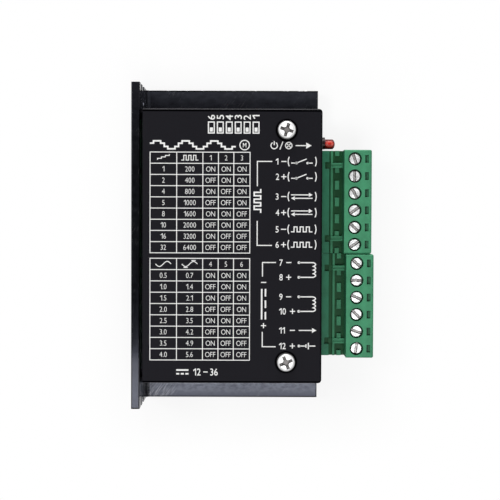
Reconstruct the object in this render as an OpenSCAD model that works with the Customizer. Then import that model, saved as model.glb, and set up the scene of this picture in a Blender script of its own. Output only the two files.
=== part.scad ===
// Stepper motor driver module: an L-shaped finned heat sink, a folded cover, a circuit board with
// its parts, a switch block and two pluggable screw terminals with rising wire clamps.
// X runs from the side plate to the terminals, Y along the heat sink, Z from the fin tips to the cover.
// The origin is the middle of the back face that the fin tips make.

/* [Heat sink] */
// Width of the heat sink and cover, from the side plate's outer face
sink_w = 56; // [52:0.5:64]
// Length of each ear that stands past the cover
ear_len = 7.7; // [6.5:0.1:12]
// Thickness of the side plate
side_t = 2.5; // [2:0.1:4]
// Thickness of the back plate between its fins and its inner face
base_t = 3.6; // [3:0.1:6]
// Height of the fins
fin_h = 4.4; // [2:0.1:8]
// Thickness of a fin
fin_t = 1.6; // [1:0.1:2.5]
// Number of fins
fin_count = 11; // [7:2:13]
// Width of the open mounting slot in each ear
slot_w = 4; // [3.2:0.1:5]
// Distance of the slot's root centre from the end of the ear
slot_root = 4; // [3:0.1:5]
// Fillet where the side plate meets the back plate
root_r = 1.2; // [0.4:0.1:2]
// Chamfer along the free edges of the plates
edge_chamfer = 0.3; // [0.1:0.05:0.6]

/* [Cover] */
// Sheet thickness of the cover
cover_t = 1; // [0.6:0.1:1.5]
// Gap between the side plate and the cover
cover_gap = 0.85; // [0.4:0.05:1.5]
// Outer bend radius of the cover's edges
bend_r = 0.6; // [0.3:0.1:1]
// Radius of the cover's corners beside the terminals
corner_r = 1.2; // [0.8:0.1:2]
// Length of cover past the connector row at the lamp end
lamp_margin = 11.7; // [11:0.1:16]
// Length of cover past the connector row at the plain end
plain_margin = 7.1; // [6.8:0.1:12]
// Height of the side plate's groove that holds the cover's tabs
groove_h = 2.4; // [1.8:0.1:4]
// Depth of that groove
groove_depth = 0.9; // [0.6:0.1:1.2]
// Distance of that groove's lower edge from the front
groove_drop = 7.2; // [5:0.1:9]

/* [Circuit board] */
// Thickness of the board
board_t = 1.6; // [1:0.1:2.4]
// Gap between the board and the case around it
board_gap = 0.8; // [0.5:0.1:1.5]
// Width of the driver chip
chip_w = 12; // [8:0.5:16]
// Thickness of the driver chip
chip_t = 1.2; // [0.8:0.1:2]
// Thickness of the thermal pad
pad_t = 2; // [1:0.1:3]
// Diameter of a bulk capacitor
cap_d = 10; // [6.3:0.1:12]
// Height of a bulk capacitor
cap_h = 16; // [12:0.5:20]
// Room between the capacitors and the cover
cap_room = 3.2; // [1:0.1:6]
// Gap between the bulk capacitors
cap_gap = 1.2; // [0.6:0.1:3]
// Distance of the driver chip's middle from the side plate's outer face
chip_in = 22; // [16:0.5:26]

/* [Board parts] */
// Space between neighbouring parts
part_gap = 2; // [1.5:0.1:2.5]
// Margin of the thermal pad round the driver chip
pad_margin = 1; // [0.5:0.1:2]
// Width of an optocoupler, across the row
coupler_w = 6.4; // [4.4:0.1:7]
// Length of an optocoupler, along the row
coupler_len = 4.6; // [3.6:0.1:5.2]
// Height of an optocoupler
coupler_h = 3.4; // [2:0.1:4.5]
// Width of the regulator
regulator_w = 6.6; // [5:0.1:8]
// Length of the regulator's body
regulator_len = 6.1; // [5:0.1:8]
// Height of the regulator
regulator_h = 2.3; // [1.6:0.1:3]
// Length of the regulator's soldered tab
tab_len = 1.8; // [1:0.1:3]
// Thickness of that tab
tab_t = 0.6; // [0.4:0.1:1]
// Step in width from the regulator's body to its tab, on each side
tab_step = 0.65; // [0.3:0.05:1]
// Width of a sense resistor
resistor_w = 3.2; // [2:0.1:4]
// Length of a sense resistor
resistor_len = 6.3; // [4:0.1:7]
// Height of a sense resistor
resistor_h = 0.6; // [0.4:0.1:1]
// Width of a chip passive
passive_w = 2; // [1.6:0.1:3]
// Length of a chip passive
passive_len = 1.25; // [0.8:0.05:1.6]
// Height of a chip passive
passive_h = 0.7; // [0.5:0.1:1.2]
// Width of the supply diode
diode_w = 4.4; // [3:0.1:5]
// Length of the supply diode
diode_len = 2.7; // [1.6:0.1:3]
// Height of the supply diode
diode_h = 2.1; // [1:0.1:2.6]

/* [Fasteners] */
// Thread diameter of the cover and board screws
thread_d = 3; // [2.5:0.1:3.5]
// Head diameter of those screws
head_d = 5.5; // [5:0.1:6.5]
// Head height of those screws
head_h = 1.9; // [1.5:0.1:2.4]
// Length of the cover screws under the head
cover_screw_len = 6; // [4:0.5:10]
// Width across the flats of the standoffs
standoff_af = 5; // [4.8:0.1:6]
// Outer diameter of the board spacers
spacer_d = 6; // [5:0.1:7]

/* [Connectors] */
// Number of poles of each connector
poles = 6; // [6:1:6]
// Pole spacing
pitch = 5.08; // [5:0.01:5.2]
// Spacing beyond whole poles from one connector to the next
row_gap = 0.52; // [0.4:0.01:1]
// Depth of a header from back to rim
header_depth = 9.8; // [9:0.1:11]
// Height of a header above the board
header_h = 8.6; // [8:0.1:10]
// Reach of the headers past the cover
header_reach = 2.8; // [2:0.1:4]
// Wall thickness of a header
header_wall = 1; // [0.8:0.1:1.3]
// Thickness of a header's back wall
header_back_t = 2.4; // [2:0.1:3]
// Thickness of a header pin
pin_t = 1; // [0.8:0.05:1.1]
// Depth of a plug's body behind its shoulder
plug_depth = 8.15; // [7.8:0.05:9.5]
// Height of a plug's body
plug_h = 15.2; // [14.5:0.1:18]
// Height of a plug's body above the board
plug_lift = 0.5; // [0.3:0.1:1]
// Gap between a header's rim and a plug's shoulder
neck_len = 4; // [3.5:0.1:6]
// Distance of a terminal screw from the shoulder
screw_back = 3.15; // [2.9:0.05:3.4]
// How far the power plug stands out from its home position
power_out = 0.7; // [0:0.1:1]

/* [Terminal clamps] */
// Head diameter of a terminal screw
terminal_head_d = 3.4; // [3:0.1:3.6]
// Head height of a terminal screw
terminal_head_h = 1.6; // [1.2:0.1:2]
// Depth of the head below the plug's top
terminal_sink = 1.2; // [0.2:0.1:1.4]
// Thread diameter of a terminal screw
terminal_thread_d = 2.6; // [2:0.1:2.8]
// Width of the driver slot in a terminal screw
terminal_slot_w = 0.85; // [0.5:0.05:1]
// Width of a wire clamp
clamp_w = 4; // [3.6:0.05:4.1]
// Depth of a wire clamp
clamp_depth = 4; // [3.4:0.1:4.1]
// Wall thickness of a wire clamp
clamp_wall = 0.7; // [0.5:0.05:0.8]
// Thickness of a wire clamp's threaded top
clamp_top = 1.4; // [1:0.1:1.8]
// Height of the wire opening in a wire clamp, with the clamp open
wire_h = 3.7; // [3.2:0.1:4]
// Rise of a wire clamp when its screw is turned in
clamp_rise = 3; // [2:0.1:3]

/* [Switch block] */
// Number of switches
switch_count = 6; // [6:1:6]
// Spacing of the switches
switch_pitch = 2.54; // [2.5:0.01:2.6]
// Depth of the switch block
switch_depth = 9.6; // [9:0.1:11]
// Height of the switch block
switch_h = 8; // [7:0.1:10]
// Distance of the switch block's middle from the side plate's outer face
switch_in = 30.3; // [22:0.1:32]
// Travel of a slider
switch_travel = 1.8; // [1.2:0.1:2]
// Width of a slider's knob
knob_w = 1.2; // [0.9:0.05:1.3]
// Height of a slider's knob
knob_h = 1.6; // [1.2:0.1:1.8]

/* [Lamp] */
// Diameter of the lamp
lamp_d = 3; // [2.8:0.1:3.2]
// Diameter of the lamp's flange
lamp_flange_d = 4.2; // [3.6:0.1:4.6]
// Length of the lamp past its flange
lamp_len = 3.1; // [2.8:0.1:5]

/* [Hidden] */
$fn = 48;

// Small allowances: cut is how far a cutting shape runs past a face
cut = 1;
thread_gap = 0.05;
screw_gap = 0.2;
head_gap = 0.3;
slide_gap = 0.12;
seat_gap = 0.3;
lead_gap = 0.15;
tab_gap = 0.2;

// Connector row along Y: the signal connector is the one beside the lamp
connector_len = poles * pitch + row_gap;
body_gap = 0.2;
plug_len = connector_len - body_gap;
nose_gap = 0.06;
nose_len = connector_len - nose_gap;
header_gap = 0.1;
header_len = connector_len - header_gap;
row_len = 2 * connector_len - body_gap;
cover_len = lamp_margin + row_len + plain_margin;
sink_len = cover_len + 2 * ear_len;
signal_y = cover_len / 2 - lamp_margin - plug_len / 2;
power_y = signal_y - connector_len;

// Heights along Z
deck_z = fin_h + base_t;
spacer_h = pad_t + chip_t;
board_z = deck_z + spacer_h;
board_top = board_z + board_t;
cover_room = cap_h + cap_room;
front_z = board_top + cover_room + cover_t;
slot_z = (deck_z + front_z) / 2;
groove_z = front_z - groove_drop;

// Places along X
left = -sink_w / 2;
right = sink_w / 2;
side_in = left + side_t;
cover_left = side_in + cover_gap;
board_left = side_in + board_gap;
board_right = right - cover_t - board_gap;
board_half = cover_len / 2 - cover_t - board_gap;
header_front = right + header_reach;
header_back = header_front - header_depth;
leg_x = header_back + header_back_t / 2;
chip_x = left + chip_in;
edge_margin = 1.6;
parts_x = board_left + head_d + 2 * edge_margin + part_gap;

// Fasteners
standoff_r = standoff_af / sqrt(3);
standoff_x = header_back - standoff_r - 2 * seat_gap;
standoff_y = board_half - standoff_r - edge_margin;
board_screw_x = board_left + head_d / 2 + edge_margin;
tap_floor = 0.8;
tap_depth = base_t - tap_floor;
stud_len = board_t + spacer_h + tap_depth - seat_gap;
head_round = 1.1;
recess_w = 0.9;
recess_len = 3.9;
recess_depth = 1.1;
cover_screw_turns = [22, -16];
board_screw_turn = 40;
lead_tail = 1;
board_points = [for (x = [board_screw_x, standoff_x], s = [-1, 1]) [x, s * standoff_y]];

// Headers and plugs, whose places along Z are shared so that they mate
header_floor = 1.2;
cavity_z0 = board_top + header_floor;
cavity_z1 = board_top + header_h - header_wall;
pin_z = (cavity_z0 + cavity_z1) / 2;
pin_short = 1.3;
pin_tip = header_front - pin_short;
nose_z0 = cavity_z0 + seat_gap;
nose_z1 = cavity_z1 - seat_gap;
nose_tip = header_back + header_back_t + 2 * seat_gap;
shoulder = header_front + neck_len;
plug_out = shoulder + plug_depth;
plug_z0 = board_top + plug_lift;
plug_z1 = plug_z0 + plug_h;
screw_x = shoulder + screw_back;
pole_ys = [for (i = [0:poles - 1]) ((poles - 1) / 2 - i) * pitch];
latch_in = 4.2;
latch_ys = [poles / 2 * pitch - latch_in, latch_in - poles / 2 * pitch];
latch_w = 1.5;
latch_gap = 0.25;
latch_grip = 0.8;
latch_proud = 0.4;
latch_h = seat_gap + header_wall + latch_proud;
latch_groove_w = 0.5;
latch_groove_depth = 0.3;
hook_drop = 1.4;
ridge_gap = 0.4;
ridge_w = 0.7;
ridge_h = 1.1;
rib_w = 1.3;
rib_back = 1.65;
rib_len = 2.7;
rib_h = 1;
plug_edge = 0.5;
plug_end = 0.35;

// Wire clamps, their pockets in the plugs and the contact bars that pass through them
pocket_floor = 0.8;
clamp_z0 = plug_z0 + pocket_floor + slide_gap;
wire_z0 = clamp_z0 + clamp_wall;
bar_t = 0.8;
bar_z0 = wire_z0 + wire_h;
clamp_hole_z1 = bar_z0 + bar_t + slide_gap;
clamp_h = clamp_hole_z1 + clamp_top - clamp_z0;
pocket_z1 = clamp_z0 + clamp_h + clamp_rise + seat_gap;
head_seat = plug_z1 - terminal_sink - terminal_head_h;
bar_w = clamp_w - 2 * clamp_wall - 2 * slide_gap;
leaf_t = 0.4;
leaf_gap = 0.05;
web_t = 1;
contact_in = nose_tip + seat_gap;
web_x = pin_tip + 2 * seat_gap;
entry_z1 = bar_z0 - slide_gap;
entry_flare = 0.7;
test_slot_w = 1.1;
test_slot_len = 2.3;
test_slot_depth = 1.1;
test_slot_back = 1.85;
test_slot_x = screw_x + terminal_head_d / 2 + test_slot_back;
slot_angles = [72, 90, 60, -37, 45, -35, 42, 0, 25, 45, 20, -80];

// Switch block at the lamp end of the board, facing out through the cover's end wall
switch_ends = 2;
switch_w = switch_count * switch_pitch + switch_ends;
switch_x = left + switch_in;
switch_lift = 0.3;
switch_face = cover_len / 2 - cover_t - seat_gap;
switch_z0 = board_top + switch_lift;
knob_out = 0.8;
knob_foot = 0.4;
lip_t = 0.9;
foot_t = 0.7;
switch_rows = 7.62;
switch_pin_w = 0.5;
knob_z = switch_z0 + switch_h / 2 - (knob_h + switch_travel) / 2;

// Lamp beside the signal plug
lamp_gap = 0.85;
lamp_y = signal_y + plug_len / 2 + lamp_gap + lamp_d / 2;
lamp_lift = 0.5;
lamp_z = board_top + lamp_flange_d / 2 + lamp_lift;
flange_t = 1;
flange_reach = 0.7;
lamp_face = right + flange_t + flange_reach;
lead_t = 0.5;
lead_pitch = 1.5;
lead_in = 2.2;
lead_x = board_right - lead_in;
dome_h = 1.2;
dome_round = 2;

// Box between two corners
module block(p, q) {
    translate(p) cube(q - p);
}

// Cylinder along X from x0 to x1
module rod_x(r, x0, x1) {
    translate([x0, 0, 0]) rotate([0, 90, 0]) cylinder(r = r, h = x1 - x0);
}

// Outline in X and Z carried along Y, over a length centred on y
module along_y(y, length) {
    translate([0, y + length / 2, 0]) rotate([90, 0, 0]) linear_extrude(length) children();
}

// Outline in Y and Z carried along X from x0 to x1
module along_x(x0, x1) {
    translate([x0, 0, 0]) rotate([90, 0, 90]) linear_extrude(x1 - x0) children();
}

// Quarter of a square corner that a round of radius r leaves over, with the corner at the origin
module corner_waste(r) {
    difference() {
        square(r);
        translate([r, r]) circle(r);
    }
}

// Cross recess of a screw, from its top downwards: two crossed slots and a deeper middle
module cross_recess() {
    for (a = [0, 90])
        rotate(a) translate([-recess_w / 2, -recess_len / 2, -recess_depth / 2])
            cube([recess_w, recess_len, recess_depth / 2 + cut]);
    rotate(45) block([-recess_w, -recess_w, -recess_depth], [recess_w, recess_w, cut]);
}

// Pan-head screw with its head's underside at the origin and its thread downwards
module pan_screw(length, turn) {
    difference() {
        union() {
            translate([0, 0, -length]) cylinder(d = thread_d, h = length);
            rotate_extrude() pan_head_outline();
        }
        translate([0, 0, head_h]) rotate(turn) cross_recess();
    }
}

// Half section of a pan head: straight side, round shoulder, nearly flat top
module pan_head_outline() {
    square([head_d / 2, head_h - head_round]);
    square([head_d / 2 - head_round, head_h]);
    intersection() {
        translate([head_d / 2 - head_round, head_h - head_round]) circle(head_round);
        square([head_d / 2, head_h]);
    }
}

// Section of the heat sink in X and Z
module sink_outline() {
    fin_pitch = (sink_w - fin_t) / (fin_count - 1);
    polygon([
        [left, 0], [side_in, 0], [side_in, front_z - edge_chamfer], [side_in - edge_chamfer, front_z],
        [left + edge_chamfer, front_z], [left, front_z - edge_chamfer]
    ]);
    polygon([
        [left, fin_h], [right, fin_h], [right, deck_z - edge_chamfer], [right - edge_chamfer, deck_z],
        [left, deck_z]
    ]);
    for (i = [0:fin_count - 1])
        translate([left + i * fin_pitch, 0]) square([fin_t, fin_h + cut]);
    translate([side_in, deck_z]) corner_waste(root_r);
}

// Open slot in the ear at end s of the side plate, with a round root
module ear_slot(s) {
    root = s * (sink_len / 2 - slot_root);
    mouth = s * (sink_len / 2 + cut);
    translate([0, root, slot_z]) rod_x(slot_w / 2, left - cut, side_in + cut);
    block(
        [left - cut, min(root, mouth), slot_z - slot_w / 2],
        [side_in + cut, max(root, mouth), slot_z + slot_w / 2]
    );
}

// Heat sink with slotted ears, the groove for the cover's tabs and tapped holes for the board
module heat_sink() {
    color("#1b1b1d") difference() {
        along_y(0, sink_len) sink_outline();
        block([side_in - groove_depth, -sink_len, groove_z], [side_in + cut, sink_len, groove_z + groove_h]);
        for (s = [-1, 1])
            ear_slot(s);
        for (p = board_points)
            translate([p[0], p[1], deck_z - tap_depth])
                cylinder(d = thread_d + 2 * thread_gap, h = tap_depth + cut);
    }
}

// Solid bounded by the cover's faces moved inwards by a skin, with round edges of radius r
module cover_block(skin, r, corner) {
    x1 = right - skin;
    half = cover_len / 2 - skin;
    z1 = front_z - skin;
    x0 = cover_left - (skin > 0 ? cut : 0);
    z0 = deck_z - (skin > 0 ? cut : 0);
    difference() {
        block([x0, -half, z0], [x1, half, z1]);
        along_y(0, 2 * cover_len) translate([x1, z1]) rotate(180) corner_waste(r);
        for (s = [-1, 1]) {
            along_x(x0 - cut, x1 + cut) translate([s * half, z1]) rotate(s > 0 ? 180 : 270) corner_waste(r);
            translate([x1, s * half, z0 - cut]) rotate(s > 0 ? 180 : 90)
                linear_extrude(z1 - z0 + 2 * cut) corner_waste(corner);
        }
    }
}

// Folded cover with its end and terminal walls, window for the switches and notches for what comes out
module cover() {
    notch_gap = 0.4;
    inner_r = 0.2;
    row_top = signal_y + plug_len / 2 + notch_gap;
    row_low = power_y - plug_len / 2 - notch_gap;
    lamp_half = lamp_flange_d / 2 + notch_gap;
    color("#222226") difference() {
        union() {
            difference() {
                cover_block(0, bend_r, corner_r);
                cover_block(cover_t, inner_r, max(corner_r - cover_t, inner_r));
            }
            for (s = [-1, 1]) {
                edge = s * (cover_len / 2 - cover_t);
                block(
                    [side_in - groove_depth + tab_gap, min(edge, edge + s * cover_t), groove_z + tab_gap],
                    [cover_left, max(edge, edge + s * cover_t), groove_z + groove_h - tab_gap]
                );
            }
        }
        block(
            [right - cover_t - cut, row_low, deck_z - cut],
            [right + cut, row_top, board_top + header_h + notch_gap]
        );
        block(
            [right - cover_t - cut, lamp_y - lamp_half, deck_z - cut],
            [right + cut, lamp_y + lamp_half, lamp_z + lamp_half]
        );
        block(
            [switch_x - switch_w / 2, cover_len / 2 - cover_t - cut, switch_z0],
            [switch_x + switch_w / 2, cover_len / 2 + cut, switch_z0 + switch_h]
        );
        for (s = [-1, 1])
            translate([standoff_x, s * standoff_y, front_z - cover_t - cut])
                cylinder(d = thread_d + 2 * screw_gap, h = cover_t + 2 * cut);
    }
}

module cover_screws() {
    color("#c9cbce") for (i = [0, 1])
        translate([standoff_x, (2 * i - 1) * standoff_y, front_z])
            pan_screw(cover_screw_len, cover_screw_turns[i]);
}

// Hexagonal standoffs with a stud through the board into the back plate
module cover_standoffs() {
    color("#b99a55") for (s = [-1, 1])
        translate([standoff_x, s * standoff_y, board_top]) difference() {
            union() {
                cylinder(r = standoff_r, h = cover_room, $fn = 6);
                translate([0, 0, -stud_len]) cylinder(d = thread_d, h = stud_len + cut);
            }
            translate([0, 0, cover_room - cover_screw_len])
                cylinder(d = thread_d + 2 * thread_gap, h = cover_screw_len + cut);
        }
}

module board_screws() {
    color("#c9cbce") for (s = [-1, 1])
        translate([board_screw_x, s * standoff_y, board_top])
            pan_screw(stud_len, board_screw_turn);
}

module board_spacers() {
    color("#d8d8d2") for (p = board_points)
        translate([p[0], p[1], deck_z]) difference() {
            cylinder(d = spacer_d, h = spacer_h);
            translate([0, 0, -cut]) cylinder(d = thread_d + 2 * screw_gap, h = spacer_h + 2 * cut);
        }
}

// Places of the switch block's pins: two rows across its depth
function switch_pin_points() = [
    for (i = [0:switch_count - 1], row = [-1, 1])
        [switch_x + (i - (switch_count - 1) / 2) * switch_pitch,
         switch_face - switch_depth / 2 + row * switch_rows / 2]
];

module circuit_board() {
    leg_hole_r = pin_t / sqrt(2) + lead_gap;
    lead_hole_r = lead_t / sqrt(2) + lead_gap;
    color("#1f6b3a") difference() {
        block([board_left, -board_half, board_z], [board_right, board_half, board_top]);
        for (p = board_points)
            translate([p[0], p[1], board_z - cut])
                cylinder(d = thread_d + 2 * screw_gap, h = board_t + 2 * cut);
        for (y0 = [signal_y, power_y], y = pole_ys)
            translate([leg_x, y0 + y, board_z - cut]) cylinder(r = leg_hole_r, h = board_t + 2 * cut);
        for (p = switch_pin_points())
            translate([p[0], p[1], board_z - cut]) cylinder(r = lead_hole_r, h = board_t + 2 * cut);
        for (s = [-1, 1])
            translate([lead_x, lamp_y + s * lead_pitch / 2, board_z - cut])
                cylinder(r = lead_hole_r, h = board_t + 2 * cut);
    }
}

module thermal_pad() {
    half = chip_w / 2 + pad_margin;
    color("#8fa3b8") block([chip_x - half, -half, deck_z], [chip_x + half, half, deck_z + pad_t]);
}

module driver_chip() {
    half = chip_w / 2;
    color("#26262a") block([chip_x - half, -half, deck_z + pad_t], [chip_x + half, half, board_z]);
}

// Bulk capacitors, beside the power header
module bulk_capacitors() {
    x = header_back - part_gap - cap_d / 2;
    color("#3a3f4a") for (i = [-1, 1])
        translate([x, power_y + i * (cap_d + cap_gap) / 2, board_top]) cylinder(d = cap_d, h = cap_h);
}

// Signal optocouplers, in a row beside the signal header
module optocouplers() {
    x = header_back - part_gap - coupler_w;
    color("#e4e2da") for (i = [-1:1])
        translate([x, signal_y + i * (coupler_len + part_gap) - coupler_len / 2, board_top])
            cube([coupler_w, coupler_len, coupler_h]);
}

// Regulator with its soldered tab, in line with the signal connector
module regulator() {
    color("#2a2a2e") translate([parts_x, signal_y, board_top]) {
        cube([regulator_w, regulator_len, regulator_h]);
        translate([tab_step, regulator_len, 0]) cube([regulator_w - 2 * tab_step, tab_len, tab_t]);
    }
}

module sense_resistors() {
    color("#202024") for (i = [0, 1])
        translate([parts_x + i * (resistor_w + part_gap), power_y, board_top])
            cube([resistor_w, resistor_len, resistor_h]);
}

// Chip passives, in columns between the regulator and the sense resistors
module chip_passives() {
    color("#b9a282") for (column = [0:2], row = [0:2])
        translate([
            parts_x + column * (passive_w + part_gap), power_y / 2 + row * (passive_len + part_gap), board_top
        ]) cube([passive_w, passive_len, passive_h]);
}

// Supply diode, beside the board screw at the plain end
module supply_diode() {
    color("#28282c") translate([parts_x, -standoff_y, board_top]) cube([diode_w, diode_len, diode_h]);
}

// Middle of switch i along X; switch 1 is the one nearest the terminals
function slider_x(i) = switch_x + ((switch_count + 1) / 2 - i) * -switch_pitch;

// Pocket of one slider: a slot through the face and a wider room behind it that holds its foot
module slider_pocket(i) {
    x = slider_x(i);
    half = knob_w / 2 + slide_gap;
    z0 = knob_z - slide_gap;
    z1 = knob_z + knob_h + switch_travel + slide_gap;
    block([x - half, switch_face - lip_t - cut, z0], [x + half, switch_face + cut, z1]);
    block(
        [x - half - knob_foot, switch_face - lip_t - foot_t - 2 * slide_gap, z0 - knob_foot],
        [x + half + knob_foot, switch_face - lip_t, z1 + knob_foot]
    );
}

module switch_body() {
    color("#b3221f") difference() {
        block(
            [switch_x - switch_w / 2 + seat_gap, switch_face - switch_depth, switch_z0 + seat_gap],
            [switch_x + switch_w / 2 - seat_gap, switch_face, switch_z0 + switch_h - seat_gap]
        );
        for (i = [1:switch_count])
            slider_pocket(i);
    }
}

module switch_pins() {
    color("#c9cbce") for (p = switch_pin_points())
        block(
            [p[0] - switch_pin_w / 2, p[1] - switch_pin_w / 2, board_z - lead_tail],
            [p[0] + switch_pin_w / 2, p[1] + switch_pin_w / 2, switch_z0 + seat_gap]
        );
}

// Slider of switch i at the lower end of its travel, with the foot that keeps it in the block
module switch_slider(i) {
    x = slider_x(i);
    back = switch_face - lip_t - slide_gap;
    color("#f2f1ec") {
        block(
            [x - knob_w / 2, back - foot_t, knob_z],
            [x + knob_w / 2, switch_face + knob_out, knob_z + knob_h]
        );
        block(
            [x - knob_w / 2 - knob_foot, back - foot_t, knob_z - knob_foot],
            [x + knob_w / 2 + knob_foot, back, knob_z + knob_h + knob_foot]
        );
    }
}

// Lamp with a domed end and a flange that is flat towards the plug
module status_lamp() {
    color("#c8261f") translate([lamp_face, lamp_y, lamp_z]) rotate([0, 90, 0]) {
        rotate_extrude() {
            square([lamp_d / 2, lamp_len - dome_h]);
            translate([0, lamp_len - dome_h]) intersection() {
                translate([0, dome_h - dome_round]) circle(dome_round);
                square([lamp_d / 2, dome_h]);
            }
        }
        translate([0, 0, -flange_t]) difference() {
            cylinder(d = lamp_flange_d, h = flange_t);
            translate([-lamp_flange_d, -lamp_flange_d - lamp_d / 2, -cut])
                cube([2 * lamp_flange_d, lamp_flange_d, flange_t + 2 * cut]);
        }
    }
}

// Bent leads of the lamp, from its flange back and down through the board
module lamp_leads() {
    half = lead_t / 2;
    color("#c9cbce") for (s = [-1, 1])
        along_y(lamp_y + s * lead_pitch / 2, lead_t) polygon([
            [lead_x - half, board_z - lead_tail], [lead_x + half, board_z - lead_tail],
            [lead_x + half, lamp_z - half], [lamp_face - flange_t, lamp_z - half],
            [lamp_face - flange_t, lamp_z + half], [lead_x - half, lamp_z + half]
        ]);
}

// Header at y0: an open-ended trough with latch notches in its top wall and slots for its pins
module header(y0) {
    color("#2f6f4d") difference() {
        along_y(y0, header_len) polygon([
            [header_back, board_top], [header_front, board_top], [header_front, cavity_z0],
            [header_back + header_back_t, cavity_z0], [header_back + header_back_t, cavity_z1],
            [header_front, cavity_z1], [header_front, board_top + header_h],
            [header_back, board_top + header_h]
        ]);
        for (y = latch_ys)
            translate([header_front, y0 + y, 0]) block(
                [-latch_grip - 2 * latch_gap, -latch_w / 2 - latch_gap, cavity_z1 - cut],
                [cut, latch_w / 2 + latch_gap, board_top + header_h + cut]
            );
        for (y = pole_ys) {
            block(
                [leg_x - pin_t / 2, y0 + y - pin_t / 2, board_top - cut],
                [leg_x + pin_t / 2, y0 + y + pin_t / 2, pin_z + pin_t / 2]
            );
            block(
                [leg_x - pin_t / 2, y0 + y - pin_t / 2, pin_z - pin_t / 2],
                [header_back + header_back_t + cut, y0 + y + pin_t / 2, pin_z + pin_t / 2]
            );
        }
    }
}

// Bent pins of the header at y0: a leg through the board and a blade towards the plug
module header_pins(y0) {
    color("#d0d2d4") for (y = pole_ys)
        along_y(y0 + y, pin_t) polygon([
            [leg_x - pin_t / 2, board_z - lead_tail], [leg_x + pin_t / 2, board_z - lead_tail],
            [leg_x + pin_t / 2, pin_z - pin_t / 2], [pin_tip - pin_t / 2, pin_z - pin_t / 2],
            [pin_tip, pin_z - pin_t / 4], [pin_tip, pin_z + pin_t / 4],
            [pin_tip - pin_t / 2, pin_z + pin_t / 2], [leg_x - pin_t / 2, pin_z + pin_t / 2]
        ]);
}

// Plug housing at y0, standing out by dx: body, nose, ridge, ribs and latches, with a pocket for each pole
module plug(y0, dx) {
    edge = plug_edge;
    rib_x = shoulder - rib_back;
    color("#3f8f63") translate([dx, y0, 0]) difference() {
        union() {
            along_y(0, plug_len) polygon([
                [shoulder, plug_z0], [plug_out - edge, plug_z0], [plug_out, plug_z0 + edge],
                [plug_out, plug_z1 - edge], [plug_out - edge, plug_z1], [shoulder, plug_z1]
            ]);
            along_y(0, nose_len) polygon([
                [nose_tip, nose_z0], [shoulder + cut, nose_z0], [shoulder + cut, nose_z1], [nose_tip, nose_z1]
            ]);
            block(
                [header_front + ridge_gap, -nose_len / 2, nose_z1 - cut],
                [header_front + ridge_gap + ridge_w, nose_len / 2, nose_z1 + ridge_h]
            );
            for (i = [0:poles]) {
                y = (poles / 2 - i) * pitch;
                block(
                    [rib_x - rib_w / 2, max(y - rib_len / 2, -nose_len / 2), nose_z1 - cut],
                    [rib_x + rib_w / 2, min(y + rib_len / 2, nose_len / 2), nose_z1 + rib_h]
                );
            }
            for (y = latch_ys)
                translate([0, y, 0]) latch();
        }
        for (s = [-1, 1])
            plug_bevel(s);
        for (y = pole_ys)
            translate([0, y, 0]) pole_pocket();
    }
}

// Wedges cut along the top and outer edges at end s of a plug's body
module plug_bevel(s) {
    half = plug_len / 2;
    inset = plug_end + cut;
    along_x(shoulder - cut, plug_out + cut) polygon([
        [s * (half - inset), plug_z1 + cut], [s * (half + cut), plug_z1 + cut],
        [s * (half + cut), plug_z1 - inset]
    ]);
    translate([0, 0, plug_z0 - cut]) linear_extrude(plug_h + 2 * cut) polygon([
        [plug_out + cut, s * (half - inset)], [plug_out + cut, s * (half + cut)],
        [plug_out - inset, s * (half + cut)]
    ]);
}

// Latch of a plug: a grooved bar on its nose, with a lower hook that reaches into the header's notch
module latch() {
    bar_x = header_front + ridge_gap;
    top = nose_z1 + latch_h;
    block(
        [header_front - latch_grip, -latch_w / 2, nose_z1 - cut],
        [shoulder + cut, latch_w / 2, top - hook_drop]
    );
    difference() {
        block([bar_x, -latch_w / 2, nose_z1 - cut], [shoulder + cut, latch_w / 2, top]);
        block(
            [bar_x - cut, -latch_groove_w / 2, top - latch_groove_depth],
            [shoulder, latch_groove_w / 2, top + cut]
        );
    }
}

// Everything cut from a plug for one pole: screw holes, clamp pocket, contact tunnel, wire entry, test slot
module pole_pocket() {
    half_w = clamp_w / 2 + slide_gap;
    half_d = clamp_depth / 2 + slide_gap;
    half_bar = bar_w / 2 + slide_gap;
    translate([screw_x, 0, head_seat]) cylinder(d = terminal_head_d + 2 * head_gap, h = plug_h);
    translate([screw_x, 0, pocket_z1 - cut])
        cylinder(d = terminal_thread_d + 2 * screw_gap, h = plug_z1 - pocket_z1 + cut);
    block([screw_x - half_d, -half_w, plug_z0 + pocket_floor], [screw_x + half_d, half_w, pocket_z1]);
    block(
        [nose_tip - cut, -half_bar, pin_z - pin_t / 2 - leaf_gap - leaf_t - slide_gap],
        [web_x + web_t + slide_gap, half_bar, bar_z0 + bar_t + slide_gap]
    );
    block(
        [web_x, -half_bar, bar_z0 - slide_gap],
        [screw_x, half_bar, bar_z0 + bar_t + slide_gap]
    );
    wire_entry(half_bar);
    block(
        [test_slot_x - test_slot_w / 2, -test_slot_len / 2, plug_z1 - test_slot_depth],
        [test_slot_x + test_slot_w / 2, test_slot_len / 2, plug_z1 + cut]
    );
}

// Wire entry of one pole: a square way into the clamp that flares on all four sides at the outer face
module wire_entry(half) {
    flare_x = plug_out - entry_flare;
    reach = entry_flare + cut;
    intersection() {
        along_y(0, 2 * (half + reach)) polygon([
            [screw_x, wire_z0], [flare_x, wire_z0], [plug_out + cut, wire_z0 - reach],
            [plug_out + cut, entry_z1 + reach], [flare_x, entry_z1], [screw_x, entry_z1]
        ]);
        translate([0, 0, plug_z0]) linear_extrude(plug_h) polygon([
            [screw_x, -half], [flare_x, -half], [plug_out + cut, -half - reach],
            [plug_out + cut, half + reach], [flare_x, half], [screw_x, half]
        ]);
    }
}

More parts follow.
